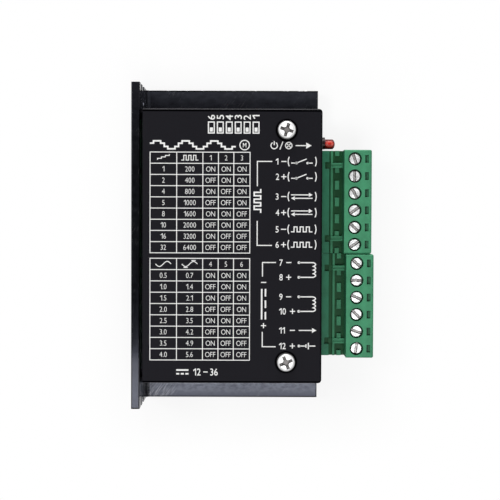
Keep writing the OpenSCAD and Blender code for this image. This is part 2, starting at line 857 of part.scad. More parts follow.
// Contacts of the plug at y0: two leaves over the pin, a web behind its tip and a bar through the clamp
module plug_contacts(y0, dx) {
    leaf_in = pin_t / 2 + leaf_gap;
    leaf_out = leaf_in + leaf_t;
    color("#d6c37a") for (y = pole_ys)
        translate([dx, y0 + y, 0]) along_y(0, bar_w) polygon([
            [contact_in, pin_z - leaf_out], [web_x + web_t, pin_z - leaf_out], [web_x + web_t, bar_z0],
            [screw_x + clamp_depth / 2, bar_z0], [screw_x + clamp_depth / 2, bar_z0 + bar_t],
            [web_x, bar_z0 + bar_t], [web_x, pin_z + leaf_out], [contact_in, pin_z + leaf_out],
            [contact_in, pin_z + leaf_in], [web_x, pin_z + leaf_in], [web_x, pin_z - leaf_in],
            [contact_in, pin_z - leaf_in]
        ]);
}

// Place along X and Y of pole n, counted from the lamp end over both connectors
function pole_dx(n) = n > poles ? power_out : 0;
function pole_y(n) = (n > poles ? power_y : signal_y) + pole_ys[(n - 1) % poles];

// Slotted terminal screw n
module terminal_screw(n) {
    rim = 0.2;
    slot_depth = 0.8;
    tip_z = clamp_hole_z1;
    color("#d3d5d8") translate([screw_x + pole_dx(n), pole_y(n), 0]) difference() {
        union() {
            translate([0, 0, tip_z]) cylinder(d = terminal_thread_d, h = head_seat - tip_z + cut);
            translate([0, 0, head_seat]) rotate_extrude() polygon([
                [0, 0], [terminal_head_d / 2, 0], [terminal_head_d / 2, terminal_head_h - rim],
                [terminal_head_d / 2 - rim, terminal_head_h], [0, terminal_head_h]
            ]);
        }
        translate([0, 0, head_seat + terminal_head_h - slot_depth]) rotate(-slot_angles[n - 1])
            translate([-terminal_head_d, -terminal_slot_w / 2, 0])
                cube([2 * terminal_head_d, terminal_slot_w, slot_depth + cut]);
    }
}

// Rising clamp of pole n: a rectangular frame round the contact bar, threaded in its top
module wire_clamp(n) {
    half_w = clamp_w / 2;
    half_d = clamp_depth / 2;
    color("#c9cbce") translate([screw_x + pole_dx(n), pole_y(n), 0]) difference() {
        block([-half_d, -half_w, clamp_z0], [half_d, half_w, clamp_z0 + clamp_h]);
        block(
            [-half_d - cut, -half_w + clamp_wall, wire_z0],
            [half_d + cut, half_w - clamp_wall, clamp_hole_z1]
        );
        translate([0, 0, clamp_hole_z1 - cut])
            cylinder(d = terminal_thread_d + 2 * thread_gap, h = clamp_top + 2 * cut);
    }
}

module signal_header() { header(signal_y); }
module signal_header_pins() { header_pins(signal_y); }
module power_header() { header(power_y); }
module power_header_pins() { header_pins(power_y); }
module signal_plug() { plug(signal_y, 0); }
module signal_plug_contacts() { plug_contacts(signal_y, 0); }
module power_plug() { plug(power_y, power_out); }
module power_plug_contacts() { plug_contacts(power_y, power_out); }

heat_sink();
cover();
cover_screws();
cover_standoffs();
board_screws();
board_spacers();
circuit_board();
thermal_pad();
driver_chip();
bulk_capacitors();
optocouplers();
regulator();
sense_resistors();
chip_passives();
supply_diode();
switch_body();
switch_pins();
status_lamp();
lamp_leads();
signal_header();
signal_header_pins();
power_header();
power_header_pins();
signal_plug();
signal_plug_contacts();
power_plug();
power_plug_contacts();
for (i = [1:switch_count])
    switch_slider(i);
for (n = [1:2 * poles]) {
    terminal_screw(n);
    wire_clamp(n);
}
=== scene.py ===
"""Looks of a stepper motor driver module: its finishes, the print on its cover and a studio stage.

Lengths in the drawing functions are millimetres in the module's own frame, and Blender's are metres.
"""
import functools
import math

import bpy
import numpy as np
from bpy.props import FloatProperty, FloatVectorProperty, IntProperty, PointerProperty
from bpy.types import Operator, Panel, PropertyGroup
from mathutils import Matrix, Vector


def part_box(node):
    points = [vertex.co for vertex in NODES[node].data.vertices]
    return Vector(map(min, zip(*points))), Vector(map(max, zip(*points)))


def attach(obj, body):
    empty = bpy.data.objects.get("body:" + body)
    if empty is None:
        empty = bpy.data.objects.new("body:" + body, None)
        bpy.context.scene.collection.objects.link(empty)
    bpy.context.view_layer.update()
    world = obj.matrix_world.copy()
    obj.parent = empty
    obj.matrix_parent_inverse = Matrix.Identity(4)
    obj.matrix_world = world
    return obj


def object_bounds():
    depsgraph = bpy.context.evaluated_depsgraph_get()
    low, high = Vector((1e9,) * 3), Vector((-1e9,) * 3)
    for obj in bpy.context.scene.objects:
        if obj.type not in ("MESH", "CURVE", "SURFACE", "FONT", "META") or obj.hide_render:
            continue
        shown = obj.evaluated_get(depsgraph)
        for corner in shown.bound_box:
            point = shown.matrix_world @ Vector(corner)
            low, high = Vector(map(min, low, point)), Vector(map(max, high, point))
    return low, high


bl_info = {
    "name": "Stepper driver module",
    "version": (1, 0, 0),
    "blender": (4, 5, 0),
    "location": "3D View > Sidebar > Driver",
    "description": "Finishes, cover print and stage of a stepper motor driver module",
    "category": "Object",
}

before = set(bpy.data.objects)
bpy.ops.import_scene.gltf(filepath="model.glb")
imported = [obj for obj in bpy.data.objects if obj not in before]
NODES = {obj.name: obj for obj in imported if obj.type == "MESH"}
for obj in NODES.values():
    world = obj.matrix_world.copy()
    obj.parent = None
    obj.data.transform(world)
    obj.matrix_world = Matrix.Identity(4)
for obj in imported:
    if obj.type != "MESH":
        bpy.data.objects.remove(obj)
CAD_BOX = [list(corner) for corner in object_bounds()]
CASE = "case"
MM = 0.001
IMAGE_PIXELS = 500
SENSOR_MM = 36.0
WHITE = (1.0, 1.0, 1.0, 1.0)

# Sizes that the boxes of the nodes don't give, in millimetres
SCREW_HEAD = 5.5  # across the head of a cover or board screw
RECESS_REACH = 2.0  # from a screw's axis to the end of its recess
PLUG_DEPTH = 8.15  # a plug's body along X
NECK_DROP = 0.8  # from the top of a header down to a plug's neck
LAMP_FLANGE = 1.0  # thickness of the lamp's flange
CUP_PLACE = 2.1  # from the lamp's back to its die cup
LEG_MIDDLE = 0.5  # half the thickness of a header's leg


def box_mm(node):
    """Lowest and highest corner of a node at rest, in millimetres."""
    low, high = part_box(node)
    return np.array(low) / MM, np.array(high) / MM


def middle_mm(node):
    """Middle of a node's box at rest, in millimetres."""
    low, high = box_mm(node)
    return (low + high) / 2


def named(prefix):
    """Names of the nodes that are a prefix and a number, in the order of their numbers."""
    found = [name for name in NODES if name.startswith(prefix)]
    return sorted(found, key=lambda name: int(name[len(prefix):]))


# Values that a user would change


def colour_property(name, description, default):
    """A colour value with the settings that all of them share."""
    return FloatVectorProperty(
        name=name, description=description, default=default, subtype="COLOR", size=3, min=0.0, max=1.0
    )


def length_property(name, description, default):
    """A length value, in metres."""
    return FloatProperty(name=name, description=description, default=default, unit="LENGTH", precision=5)


def number_property(name, description, default, low=0.0, high=100.0):
    """A plain number with its limits."""
    return FloatProperty(name=name, description=description, default=default, min=low, max=high)


class CaseLooks(PropertyGroup):
    """Finish of the heat sink and the cover."""

    anodised: colour_property("Anodised colour", "Colour of the heat sink", (0.0024, 0.0025, 0.0032))
    bare: colour_property("Bare metal", "Aluminium where the finish is worn", (0.5, 0.5, 0.52))
    coat: colour_property("Coat colour", "Colour of the cover's powder coat", (0.0036, 0.0035, 0.005))
    coat_grain: length_property("Coat grain", "Size of the powder coat's grain", 0.00016)
    streak: length_property("Streak length", "Length of the extrusion streaks", 0.03)
    edge: length_property("Edge round", "Round that edges seem to have", 0.00018)


class MetalLooks(PropertyGroup):
    """Finish of screws, pins and contacts."""

    steel: colour_property("Steel colour", "Colour of the cover screws", (0.8, 0.8, 0.8))
    # Painted shade with some tarnish: the recess's bottom is darker than the head
    bed: colour_property("Recess colour", "Bottom of the recess in a cover screw", (0.17, 0.16, 0.157))
    dull: colour_property("Dull steel colour", "Colour of the terminal screws", (0.58, 0.58, 0.585))
    # Painted shade with some tarnish: the slot's bottom is darker than the head
    dull_bed: colour_property("Slot colour", "Bottom of the slot in a terminal screw", (0.26, 0.25, 0.247))
    tin: colour_property("Tin colour", "Colour of pins and leads", (0.74, 0.74, 0.73))
    brass: colour_property("Brass colour", "Colour of the standoffs", (0.78, 0.58, 0.26))
    contact: colour_property("Contact colour", "Colour of the plug contacts", (0.8, 0.67, 0.4))
    turning: length_property("Turning pitch", "Spacing of the turning marks on screw heads", 0.00011)
    # Painted shade with some soiling: width of the dark lines along the foot of a recess
    grime: length_property("Grime width", "Width of the dark lines along the foot of a recess", 0.0006)


class PlasticLooks(PropertyGroup):
    """Finish of the moulded pieces."""

    plug: colour_property("Plug colour", "Colour of the terminal plugs", (0.05, 0.255, 0.128))
    header: colour_property("Header colour", "Colour of the headers", (0.026, 0.19, 0.1))
    switch: colour_property("Switch colour", "Colour of the switch block", (0.5, 0.018, 0.014))
    slider: colour_property("Slider colour", "Colour of the switch sliders", (0.82, 0.81, 0.77))
    lamp: colour_property("Lamp colour", "Colour of the lamp's resin", (0.85, 0.02, 0.012))
    grain: length_property("Mould grain", "Size of the grain that the mould leaves", 0.00009)


class BoardLooks(PropertyGroup):
    """Finish of the circuit board and what it carries."""

    mask: colour_property("Mask colour", "Solder mask over bare laminate", (0.008, 0.07, 0.028))
    track: colour_property("Track colour", "Solder mask over copper", (0.022, 0.145, 0.06))
    laminate: colour_property("Laminate colour", "Edge of the board", (0.3, 0.29, 0.13))
    package: colour_property("Package colour", "Moulded chip packages", (0.015, 0.015, 0.017))
    track_pitch: length_property("Track pitch", "Spacing of the tracks", 0.0011)


class PrintLooks(PropertyGroup):
    """The white print on the cover."""

    ink: colour_property("Ink colour", "Colour of the print", (0.8, 0.8, 0.79))
    height: length_property("Ink height", "How far the print stands above its face", 0.00003)
    line: length_property("Line width", "Width of the drawn lines", 0.00029)
    rule: length_property("Rule width", "Width of the tables' rules", 0.00024)
    weight: number_property("Weight", "Thickening of the characters", 0.006, -0.05, 0.05)
    table_weight: number_property("Table weight", "Thickening in the tables", -0.009, -0.05, 0.05)
    narrow: number_property("Narrowing", "Width of the characters against their own", 0.84, 0.5, 1.2)


class StageLooks(PropertyGroup):
    """Camera, lamps and floor."""

    focal: number_property("Focal length", "Lens, in pixels of the image", 1226.1, 100.0, 5000.0)
    distance: length_property("Distance", "Camera from the point it is aimed at", 0.39248)
    aim: FloatVectorProperty(
        name="Aim",
        description="Point that the camera is aimed at",
        default=(0.006925, -0.00198, 0.0),
        subtype="XYZ",
    )
    tilt: FloatVectorProperty(
        name="Tilt",
        description="Turns of the object against a camera that looks straight down",
        default=(0.02676, 0.00165, -0.00338),
        subtype="EULER",
    )
    sky: number_property("Sky", "Light from all around on matt surfaces", 0.38)
    horizon: number_property("Horizon", "Brightness low down in reflections", 0.3)
    ceiling: number_property("Ceiling", "Brightness overhead in reflections", 0.5)
    hood: number_property("Hood", "How dark the camera's hood is in reflections", 0.7)
    strip: number_property("Strip", "Brightness of a strip ahead in reflections", 1.6)
    key: number_property("Key lamp", "Brightness of the lamp on the left", 11.0)
    bank: number_property("Overhead lamp", "Brightness of the lamp overhead", 9.0)
    back: number_property("Back lamp", "Brightness of the low lamp behind", 14.0)
    floor: colour_property("Floor colour", "Colour of the floor", (0.88, 0.88, 0.88))
    floor_size: length_property("Floor size", "Width of the floor", 2.4)
    shadow: number_property("Shadow", "How much of a shadow shows", 0.16, 0.0, 1.0)
    edge_samples: IntProperty(
        name="Edge samples", description="Rays that round an edge", default=6, min=2, max=16
    )


# Finishes: node trees written as expressions

# Rounds that edges and the corners of slots seem to have, in metres
SHARP_EDGE = 0.00008
FINE_EDGE = 0.0001
MOULD_EDGE = 0.00014
SOFT_EDGE = 0.0004
SLOT_CORNER = 0.0013

# Places of a Mix node's factor and two colours among its inputs, and of its colour among its outputs
MIX_SHARE, MIX_FIRST, MIX_SECOND, MIX_COLOUR = 0, 6, 7, 2


def rgba(colour):
    """A colour as four numbers, or a wire as it is."""
    return colour if isinstance(colour, Wire) else (*colour, 1.0)


def shaded(colour, share):
    """A colour times a share."""
    return [share * part for part in colour]


class Wire:
    """One output of a finish's node tree; sums and products of wires and numbers add Math nodes."""

    def __init__(self, finish, socket):
        self.finish = finish
        self.socket = socket

    def math(self, operation, *values):
        """A Math node of an operation on values."""
        return self.finish.node("ShaderNodeMath", {"operation": operation}, dict(enumerate(values)))

    def __add__(self, other):
        return self.math("ADD", self, other)

    def __radd__(self, other):
        return self.math("ADD", other, self)

    def __sub__(self, other):
        return self.math("SUBTRACT", self, other)

    def __rsub__(self, other):
        return self.math("SUBTRACT", other, self)

    def __mul__(self, other):
        return self.math("MULTIPLY", self, other)

    def __rmul__(self, other):
        return self.math("MULTIPLY", other, self)

    def __truediv__(self, other):
        return self.math("DIVIDE", self, other)

    def __abs__(self):
        return self.math("ABSOLUTE", self)

    def most(self, other):
        """The larger of two values."""
        return self.math("MAXIMUM", self, other)

    def distance(self, other):
        """Length of a line from its two sides: the root of the sum of their squares."""
        return self.math("SQRT", self * self + other * other)

    def step(self, low, high):
        """0 at low, 1 at high and smooth between them; low may be the larger."""
        return self.finish.node(
            "ShaderNodeMapRange",
            {"interpolation_type": "SMOOTHSTEP"},
            {"Value": self, "From Min": low, "From Max": high},
        )


class Finish:
    """A material or a world under construction: its node tree and the patterns that finishes share."""

    def __init__(self, holder):
        holder.use_nodes = True
        self.holder = holder
        self.tree = holder.node_tree
        self.tree.nodes.clear()
        self.place = self.node("ShaderNodeTexCoord", output="Object")

    @classmethod
    def named(cls, name):
        """A finish for a new material."""
        return cls(bpy.data.materials.new(name))

    def node(self, kind, settings=None, inputs=None, output=0):
        """A node of a kind with its settings, then its sockets' values or wires; returns one output."""
        made = self.tree.nodes.new(kind)
        for key, value in (settings or {}).items():
            setattr(made, key, value)
        for key, value in (inputs or {}).items():
            if isinstance(value, Wire):
                self.tree.links.new(value.socket, made.inputs[key])
            elif value is not None:
                made.inputs[key].default_value = value
        return Wire(self, made.outputs[output]) if made.outputs else None

    def parts(self, vector):
        """The X, Y and Z of a vector."""
        apart = self.node("ShaderNodeSeparateXYZ", inputs={0: vector}).socket.node
        return [Wire(self, side) for side in apart.outputs]

    def axes(self):
        """The X, Y and Z of a point, in millimetres."""
        return [side / MM for side in self.parts(self.place)]

    def normal(self):
        """The X, Y and Z of the face's own normal."""
        return self.parts(self.node("ShaderNodeNewGeometry", output="True Normal"))

    def up(self):
        """1 on faces that look up or down and 0 on the sides."""
        return abs(self.normal()[2]).step(0.4, 0.6)

    def bends(self):
        """1 on faces that slant and 0 on those along an axis, from 1 less the normal's largest part."""
        x, y, z = (abs(side) for side in self.normal())
        return (1.0 - x.most(y.most(z))).step(0.01, 0.08)

    def noise(self, size, detail=2.0, turn=(0.0, 0.0, 0.0)):
        """Noise from 0 to 1 whose marks measure size millimetres along X, Y and Z, turned by radians."""
        scale = [1.0 / (side * MM) for side in np.broadcast_to(size, 3)]
        turned = self.node("ShaderNodeMapping", {}, {"Vector": self.place, "Rotation": turn})
        at = self.node("ShaderNodeMapping", {}, {"Vector": turned, "Scale": scale})
        return self.node("ShaderNodeTexNoise", {}, {"Vector": at, "Scale": 1.0, "Detail": detail}, "Fac")

    def mix(self, share, first, second):
        """Colour that goes from first to second as share goes from 0 to 1."""
        sockets = {MIX_SHARE: share, MIX_FIRST: rgba(first), MIX_SECOND: rgba(second)}
        return self.node("ShaderNodeMix", {"data_type": "RGBA"}, sockets, MIX_COLOUR)

    def edges(self, radius, high=0.2):
        """Normal rounded over edges by a radius in metres, and a mask that is 1 on edges and 0 on flats.

        The mask is full where the normal's cosine falls short by high.
        """
        samples = bpy.context.scene.driver_stage.edge_samples
        rounded = self.node("ShaderNodeBevel", {"samples": samples}, {"Radius": radius}, "Normal")
        flat = self.node("ShaderNodeNewGeometry", output="Normal")
        pair = {0: rounded, 1: flat}
        facing = self.node("ShaderNodeVectorMath", {"operation": "DOT_PRODUCT"}, pair, "Value")
        return rounded, (1.0 - facing).step(0.1 * high, high)

    def bump(self, height, depth, normal=None):
        """Normal bent by a height from 0 to 1 that stands for depth metres."""
        sockets = {"Height": height, "Distance": depth, "Normal": normal}
        return self.node("ShaderNodeBump", {}, sockets, "Normal")

    def surface(self, sockets):
        """Closes the tree with a Principled shader and returns the material."""
        return self.close(self.node("ShaderNodeBsdfPrincipled", {}, sockets))

    def close(self, shader, kind="ShaderNodeOutputMaterial"):
        """Closes the tree with a shader and returns what holds it."""
        self.node(kind, {}, {"Surface": shader})
        return self.holder


def anodised_finish(looks, low, rim):
    """Dyed oxide on an extrusion: faint streaks along Y, a mottled gloss, scratches and worn edges that show
    the metal.

    The deck that shows past the cover is scratched at its near end, where a painted reflection makes it paler
    and bluish; painted shade lies in black lines at the cover's foot and along the deck's rims, in a band on
    its far end and towards its near edge. The side plate's crest has a painted reflection at its near end and
    painted shade along the rest. low is the extrusion's lowest corner and rim the height of the side plate,
    near which the colour is painted darker as painted shade; both are in millimetres.
    """
    made = Finish.named("anodised_black")
    streaks = made.noise((0.35, looks.streak / MM, 0.35), 3.0)
    clouds = made.noise((7.0, 12.0, 7.0), 3.0)
    mottle = made.noise((2.2, 1.4, 2.2), 3.0)
    x, y, z = made.axes()
    left, end = float(low[0]), float(low[1])
    near, far = y - end, -end - y
    above = made.up()
    deck = above * z.step(rim - 15.0, rim - 20.0)
    crest = above * z.step(rim - 1.5, rim - 0.5)

    # Scratches, with more of them where the deck is handled
    beside = made.noise((4.0, 4.0, 0.12), 1.0, (0.5, 0.0, 0.0))
    slanted = beside + above * (made.noise((0.12, 4.0, 0.12), 1.0, (0.0, 0.0, 0.6)) - beside)
    handled = deck * x.step(left + 13.0, left + 8.0) * near.step(6.0, 4.0)
    scratches = slanted.step(0.66, 0.72) * made.noise(9.0, 1.0).step(0.52, 0.62) * 0.18
    scratches = scratches.most(slanted.step(0.56, 0.63) * handled * 0.8)

    # Colour of the dye, painted darker near the rim as painted shade; scratches; and painted reflections on
    # the near deck and at the crest's near end
    # Painted shade: the colour is five times darker within 2 mm of the side plate's top than 12 mm below it
    rim_shade_falloff = z.step(rim - 2.0, rim - 12.0)
    dark, pale = (
        made.mix(rim_shade_falloff, shaded(looks.anodised, shade), shaded(looks.anodised, 5.0 * shade))
        for shade in (0.8, 1.5)
    )
    body = made.mix(mottle.step(0.3, 0.7), dark, pale)
    body = made.mix(scratches, body, (0.4, 0.4, 0.41))
    # Painted reflection: the near deck is painted paler and bluish, most next to the cover, mottled by spots
    near_deck_reflection = near.step(0.0, 6.0) * near.step(7.0, 6.0)
    spots = made.noise((1.5, 0.9, 1.5), 3.0).step(0.3, 0.7)
    body = made.mix(deck * near_deck_reflection * (0.3 + 0.7 * spots), body, (0.14, 0.145, 0.16))
    # Painted reflection: the crest is painted paler at its near end
    body = made.mix(crest * near.step(17.0, 13.0) * 0.35, body, (0.1, 0.1, 0.107))

    # Painted shade, black and metallic so that no light shows on it: a line at the cover's foot, lines along
    # the deck's rims, a band on the far deck, a darkening towards the near edge and shade along the crest
    foot = near.step(4.1, 4.5) * near.step(9.0, 8.0)
    rims = near.step(0.45, 0.25).most(far.step(0.45, 0.25))
    far_deck_shade = far.step(0.5, 6.0) * far.step(10.0, 9.0) * 0.55
    lines = foot.most(rims).most(far_deck_shade.most(near.step(3.5, 0.5) * 0.35))
    crest_shade = near.step(14.0, 22.0) * (0.55 - 0.25 * near.step(35.0, 60.0)) + near.step(0.5, 0.3)
    painted_shade = deck * lines + crest * crest_shade
    body = made.mix(painted_shade, body, shaded(looks.anodised, 0.2))

    rounded, edge = made.edges(looks.edge)
    worn = edge * made.noise((1.2, 2.4, 1.2), 3.0).step(0.52, 0.68) * 0.6
    gloss = 0.05 * (streaks - 0.5) + 0.16 * (mottle - 0.5) + 0.12 * (clouds - 0.5)
    return made.surface({
        "Base Color": made.mix(worn, body, looks.bare),
        "Metallic": worn.most(painted_shade),
        "Roughness": 0.16 + gloss + 0.15 * scratches,
        "Specular IOR Level": 0.25,
        "Specular Tint": (0.74, 0.79, 1.0, 1.0),
        "Normal": made.bump(streaks * 0.25 + mottle * 0.4 + clouds * 0.35, 0.000012, rounded),
    })


def coated_finish(looks, screw, half, top):
    """Powder coat: a fine pebbled grain over a soft orange peel, smooth round the bends.

    The bends are painted darker as painted shade. Painted shade, black and metallic so that no light
    shows on it, also lies in a line along both ends of the top, over the bend at the -Y end but not the +Y
    one, and in a ring round each cover screw.
    screw is the place of the screw at one end, half the cover's half length and top its height, in
    millimetres.
    """
    made = Finish.named("cover_black")
    grain = made.noise(looks.coat_grain / MM)
    peel = made.noise(0.9, 1.0)
    clouds = made.noise(16.0)
    rounded, edge = made.edges(looks.edge)
    rubbed = edge * made.noise(2.2, 3.0).step(0.35, 0.7)
    bends = made.bends()
    black = shaded(looks.coat, 0.2)
    body = made.mix(grain.step(0.3, 0.75), looks.coat, shaded(looks.coat, 1.9))
    body = made.mix(clouds.step(0.35, 0.7) * 0.35, body, shaded(looks.coat, 1.5))
    # Painted shade: the bends are painted darker
    body = made.mix(bends * 0.8, body, black)
    body = made.mix(rubbed * 0.2, body, (0.09, 0.09, 0.098))
    x, y, z = made.axes()
    # Painted shade, black and metallic so that no light shows on it: a ring round each screw head and a line
    # along both ends of the top, over the bend at the -Y end but not the +Y one
    across, along = x - float(screw[0]), abs(y) - float(screw[1])
    ring = across.distance(along).step(3.5, 3.1)
    reach = abs(y) - 0.3 * y.step(1.0, -1.0)
    line = reach.step(half - 1.0, half - 0.85) * z.step(top - 0.75, top - 0.65)
    bare = ring.most(line * (1.0 - bends * y.step(-1.0, 1.0)))
    return made.surface({
        "Base Color": made.mix(bare, body, black),
        "Metallic": bare,
        "Roughness": 0.56 + 0.25 * (grain - 0.5) - 0.1 * rubbed - 0.36 * bends,
        "Specular IOR Level": 0.09,
        "Specular Tint": (0.94, 0.92, 1.0, 1.0),
        "Normal": made.bump(grain * 0.6 + peel * 0.4, 0.00001, rounded),
    })


def turned_finish(name, looks, colour, bed, roughness, centre, pitch, top):
    """Plated screws in a row along Y: rings round each axis, painted shade with some soiling in the recess,
    and painted shade in a dark rim round the head.

    bed is the colour of the recess's bottom, darker than the plate: painted shade with some tarnish. centre
    is a point on one axis, pitch the spacing of the axes and top the height of the heads, in millimetres.
    """
    made = Finish.named(name)
    x, y, z = made.axes()
    turns = (y - float(centre[1])) / pitch
    along = (turns - turns.math("ROUND", turns)) * pitch
    radius = along.distance(x - float(centre[0]))
    wander = made.noise(1.1)
    rings = radius.math("SINE", (radius + wander * 0.08) * (2.0 * math.pi * MM / looks.turning))
    sunk = (top - z).step(0.12, 0.3) * radius.step(RECESS_REACH + 0.05, RECESS_REACH)
    smear = made.noise(0.6, 3.0).step(0.4, 0.75)
    # Painted shade with some soiling: dark on the recess's walls and along the foot of its floor
    corner = made.edges(looks.grime, 0.04)[1]
    grime = sunk * (1.0 - made.up() * (1.0 - corner)) * (0.75 + 0.25 * smear)
    rounded, edge = made.edges(SHARP_EDGE)
    # Painted shade: a dark rim, made more metallic so that little light shows on it, round the heads' outer
    # edge
    head_rim_shade = radius.step(RECESS_REACH + 0.4, RECESS_REACH + 0.6) * 0.85
    plate = made.mix(smear * 0.3, colour, shaded(colour, 0.78))
    # Painted shade with some tarnish: the recess's bottom takes its darker colour
    plate = made.mix(sunk, plate, bed)
    plate = made.mix(head_rim_shade, plate, (0.03, 0.028, 0.027))
    return made.surface({
        "Base Color": made.mix(grime, plate, (0.02, 0.018, 0.017)),
        "Metallic": 0.8 - 0.55 * radius.step(RECESS_REACH - 0.3, RECESS_REACH + 0.3) + 0.6 * head_rim_shade,
        "Roughness": roughness + 0.1 * smear + 0.2 * grime - 0.06 * edge,
        "Normal": made.bump(rings * 0.3 + smear * 0.2, 0.000008, rounded),
    })


def metal_finish(name, colour, roughness, streak):
    """Drawn or stamped metal: colour that clouds a little and streaks along one axis."""
    made = Finish.named(name)
    streaks = made.noise(streak, 3.0)
    clouds = made.noise(1.5).step(0.35, 0.7)
    rounded, edge = made.edges(SHARP_EDGE)
    dull = made.mix(clouds * 0.5, colour, shaded(colour, 0.72))
    bright = [min(1.0, part) for part in shaded(colour, 1.15)]
    return made.surface({
        "Base Color": made.mix(edge * 0.4, dull, bright),
        "Metallic": 1.0,
        "Roughness": roughness + 0.18 * (streaks - 0.5) + 0.1 * clouds,
        "Normal": made.bump(streaks, 0.000006, rounded),
    })


def moulded_finish(name, colour, roughness, looks, edge_radius=MOULD_EDGE, dark=None):
    """Moulded plastic: a fine mould grain, cloudy colour where the melt flowed, and paler edges, rubbed and
    with a painted sheen.

    dark gives the X and Z in millimetres, below both of which the moulding is painted a darker colour as
    painted shade, and the height of its top, below which painted shade lies on the floors of slots, darkest
    in their corners.
    """
    made = Finish.named(name)
    grain = made.noise(looks.grain / MM)
    flow = made.noise((2.6, 3.4, 2.6), 3.0)
    specks = made.noise(0.35)
    rounded, edge = made.edges(edge_radius)
    pale = [0.94 * part + 0.018 for part in colour]
    body = made.mix(flow.step(0.32, 0.68), shaded(colour, 0.8), colour)
    body = made.mix(specks.step(0.5, 0.78) * 0.3, body, pale)
    # Painted sheen with rubbed wear: the edges are paler
    body = made.mix(edge * 0.4, body, pale)
    if dark:
        neck_x, neck_z, top = dark
        x, _, z = made.axes()
        # Painted shade: the neck below the shoulder is painted a darker colour
        neck = x.step(neck_x + 0.1, neck_x - 0.1) * z.step(neck_z + 0.3, neck_z - 0.3)
        slot = x.step(neck_x - 0.1, neck_x + 0.1) * z.step(top - 0.9, top - 1.0)
        bent, corner = made.edges(SLOT_CORNER, 0.03)
        lean = made.parts(bent)[0]
        # Painted shadow: slot floors are painted darker, most in the corners on one side
        foot = slot * (0.3 + 0.7 * corner * lean.step(-0.12, -0.02))
        deep_shade = [part * part for part in colour]
        body = made.mix(neck * 0.95, body, deep_shade)
        body = made.mix(foot, body, shaded(deep_shade, 0.15))
    return made.surface({
        "Base Color": body,
        "Roughness": roughness + 0.16 * (grain - 0.5) + 0.12 * (flow - 0.5),
        "Specular IOR Level": 0.14,
        "Normal": made.bump(grain * 0.5 + specks * 0.5, 0.00001, rounded),
    })


def resin_finish(looks, axis, face, tip):
    """Clear red resin: a pale ring painted where the die's cup shows, a painted reflection, painted shade
    round it and painted shade on the flange.

    axis, face and tip give the lamp's middle along Y and the ends of its barrel along X, in millimetres.
    """
    made = Finish.named("lamp_red")
    clouds = made.noise(0.9)
    rounded, _ = made.edges(FINE_EDGE)
    x, y, _ = made.axes()
    across, along = y - axis, x - (0.55 * face + 0.45 * tip)
    radius = across.math("SQRT", across * across + along * along * 0.6)
    # Painted reflection: a pale ring where the die's cup would shine through the resin
    cup = radius.step(0.3, 0.6) * radius.step(1.0, 0.75)
    # Painted shade: the resin is painted much darker away from its middle, towards the barrel's sides and
    # ends
    deep_shade = radius.step(0.8, 1.2)
    body = made.mix(clouds.step(0.3, 0.7), shaded(looks.lamp, 0.8), looks.lamp)
    body = made.mix(cup * 0.6, body, (0.85, 0.2, 0.15))
    body = made.mix(deep_shade * 0.9, body, shaded(looks.lamp, 0.1))
    return made.surface({
        # Painted shade: the flange is painted near black
        "Base Color": made.mix(x.step(face + 0.1, face - 0.05) * 0.95, body, (0.012, 0.004, 0.005)),
        "Roughness": 0.3 + 0.1 * clouds,
        "Transmission Weight": 0.2,
        "IOR": 1.5,
        "Specular IOR Level": 0.12,
        "Normal": made.bump(clouds, 0.00001, rounded),
    })


def board_finish(looks):
    """Board: stepped tracks under solder mask on its faces, and woven glass on its cut edges."""
    made = Finish.named("board_green")
    pitch_mm = looks.track_pitch / MM
    lanes = made.noise((pitch_mm, 7.0 * pitch_mm, 50.0), 0.0).step(0.5, 0.54)
    islands = made.noise((4.0, 3.0, 50.0), 1.0).step(0.52, 0.55)
    copper = lanes.most(islands)
    weave = made.noise((0.6, 0.6, 0.08))
    rounded, _ = made.edges(FINE_EDGE)
    masked = made.mix(copper, looks.mask, looks.track)
    cut = made.mix(weave.step(0.35, 0.65), looks.laminate, shaded(looks.laminate, 0.6))
    face = made.up()
    return made.surface({
        "Base Color": made.mix(face, cut, masked),
        "Roughness": 0.62 - 0.34 * face + 0.1 * (weave - 0.5),
        "Normal": made.bump(copper * face + weave * 0.2 - weave * face * 0.2, 0.00003, rounded),
    })


def capacitor_finish(looks, top):
    """Shrink sleeve with a paler stripe down one side, and a bare metal end above it."""
    made = Finish.named("capacitor_sleeve")
    _, _, z = made.axes()
    lid = (z - top).step(-0.35, -0.25)
    stripe = made.noise((50.0, 5.0, 200.0), 0.0).step(0.56, 0.58) * (1.0 - lid)
    rub = made.noise(0.8)
    rounded, _ = made.edges(SOFT_EDGE)
    sleeve = made.mix(stripe * 0.7, looks.package, (0.35, 0.36, 0.38))
    return made.surface({
        "Base Color": made.mix(lid, sleeve, (0.72, 0.72, 0.73)),
        "Metallic": lid,
        "Roughness": 0.3 + 0.2 * (rub - 0.5) + 0.05 * lid,
        "Normal": made.bump(rub, 0.00001, rounded),
    })


def ink_finish(looks):
    """Screen-printed ink: a slightly mottled white with a dry surface."""
    made = Finish.named("print_white")
    mottle = made.noise(0.35, 3.0)
    thin = made.noise(0.12).step(0.62, 0.8)
    body = made.mix(mottle.step(0.3, 0.7), shaded(looks.ink, 0.93), looks.ink)
    return made.surface({
        "Base Color": made.mix(thin * 0.25, body, shaded(looks.ink, 0.6)),
        "Roughness": 0.55 + 0.2 * (mottle - 0.5),
        "Specular IOR Level": 0.3,
        "Normal": made.bump(mottle, 0.000006),
    })


def dress(nodes, material):
    """Gives CAD nodes a material in every slot they have."""
    for name in nodes:
        if not NODES[name].material_slots:
            raise RuntimeError(f"{name} has no material slot")
        for slot in NODES[name].material_slots:
            slot.material = material


# Shapes

# Height of capitals, thickness of a stem and gap between characters, as shares of the font's size
CAPITAL = 0.7
STEM = 0.1
LETTER_GAP = 0.1

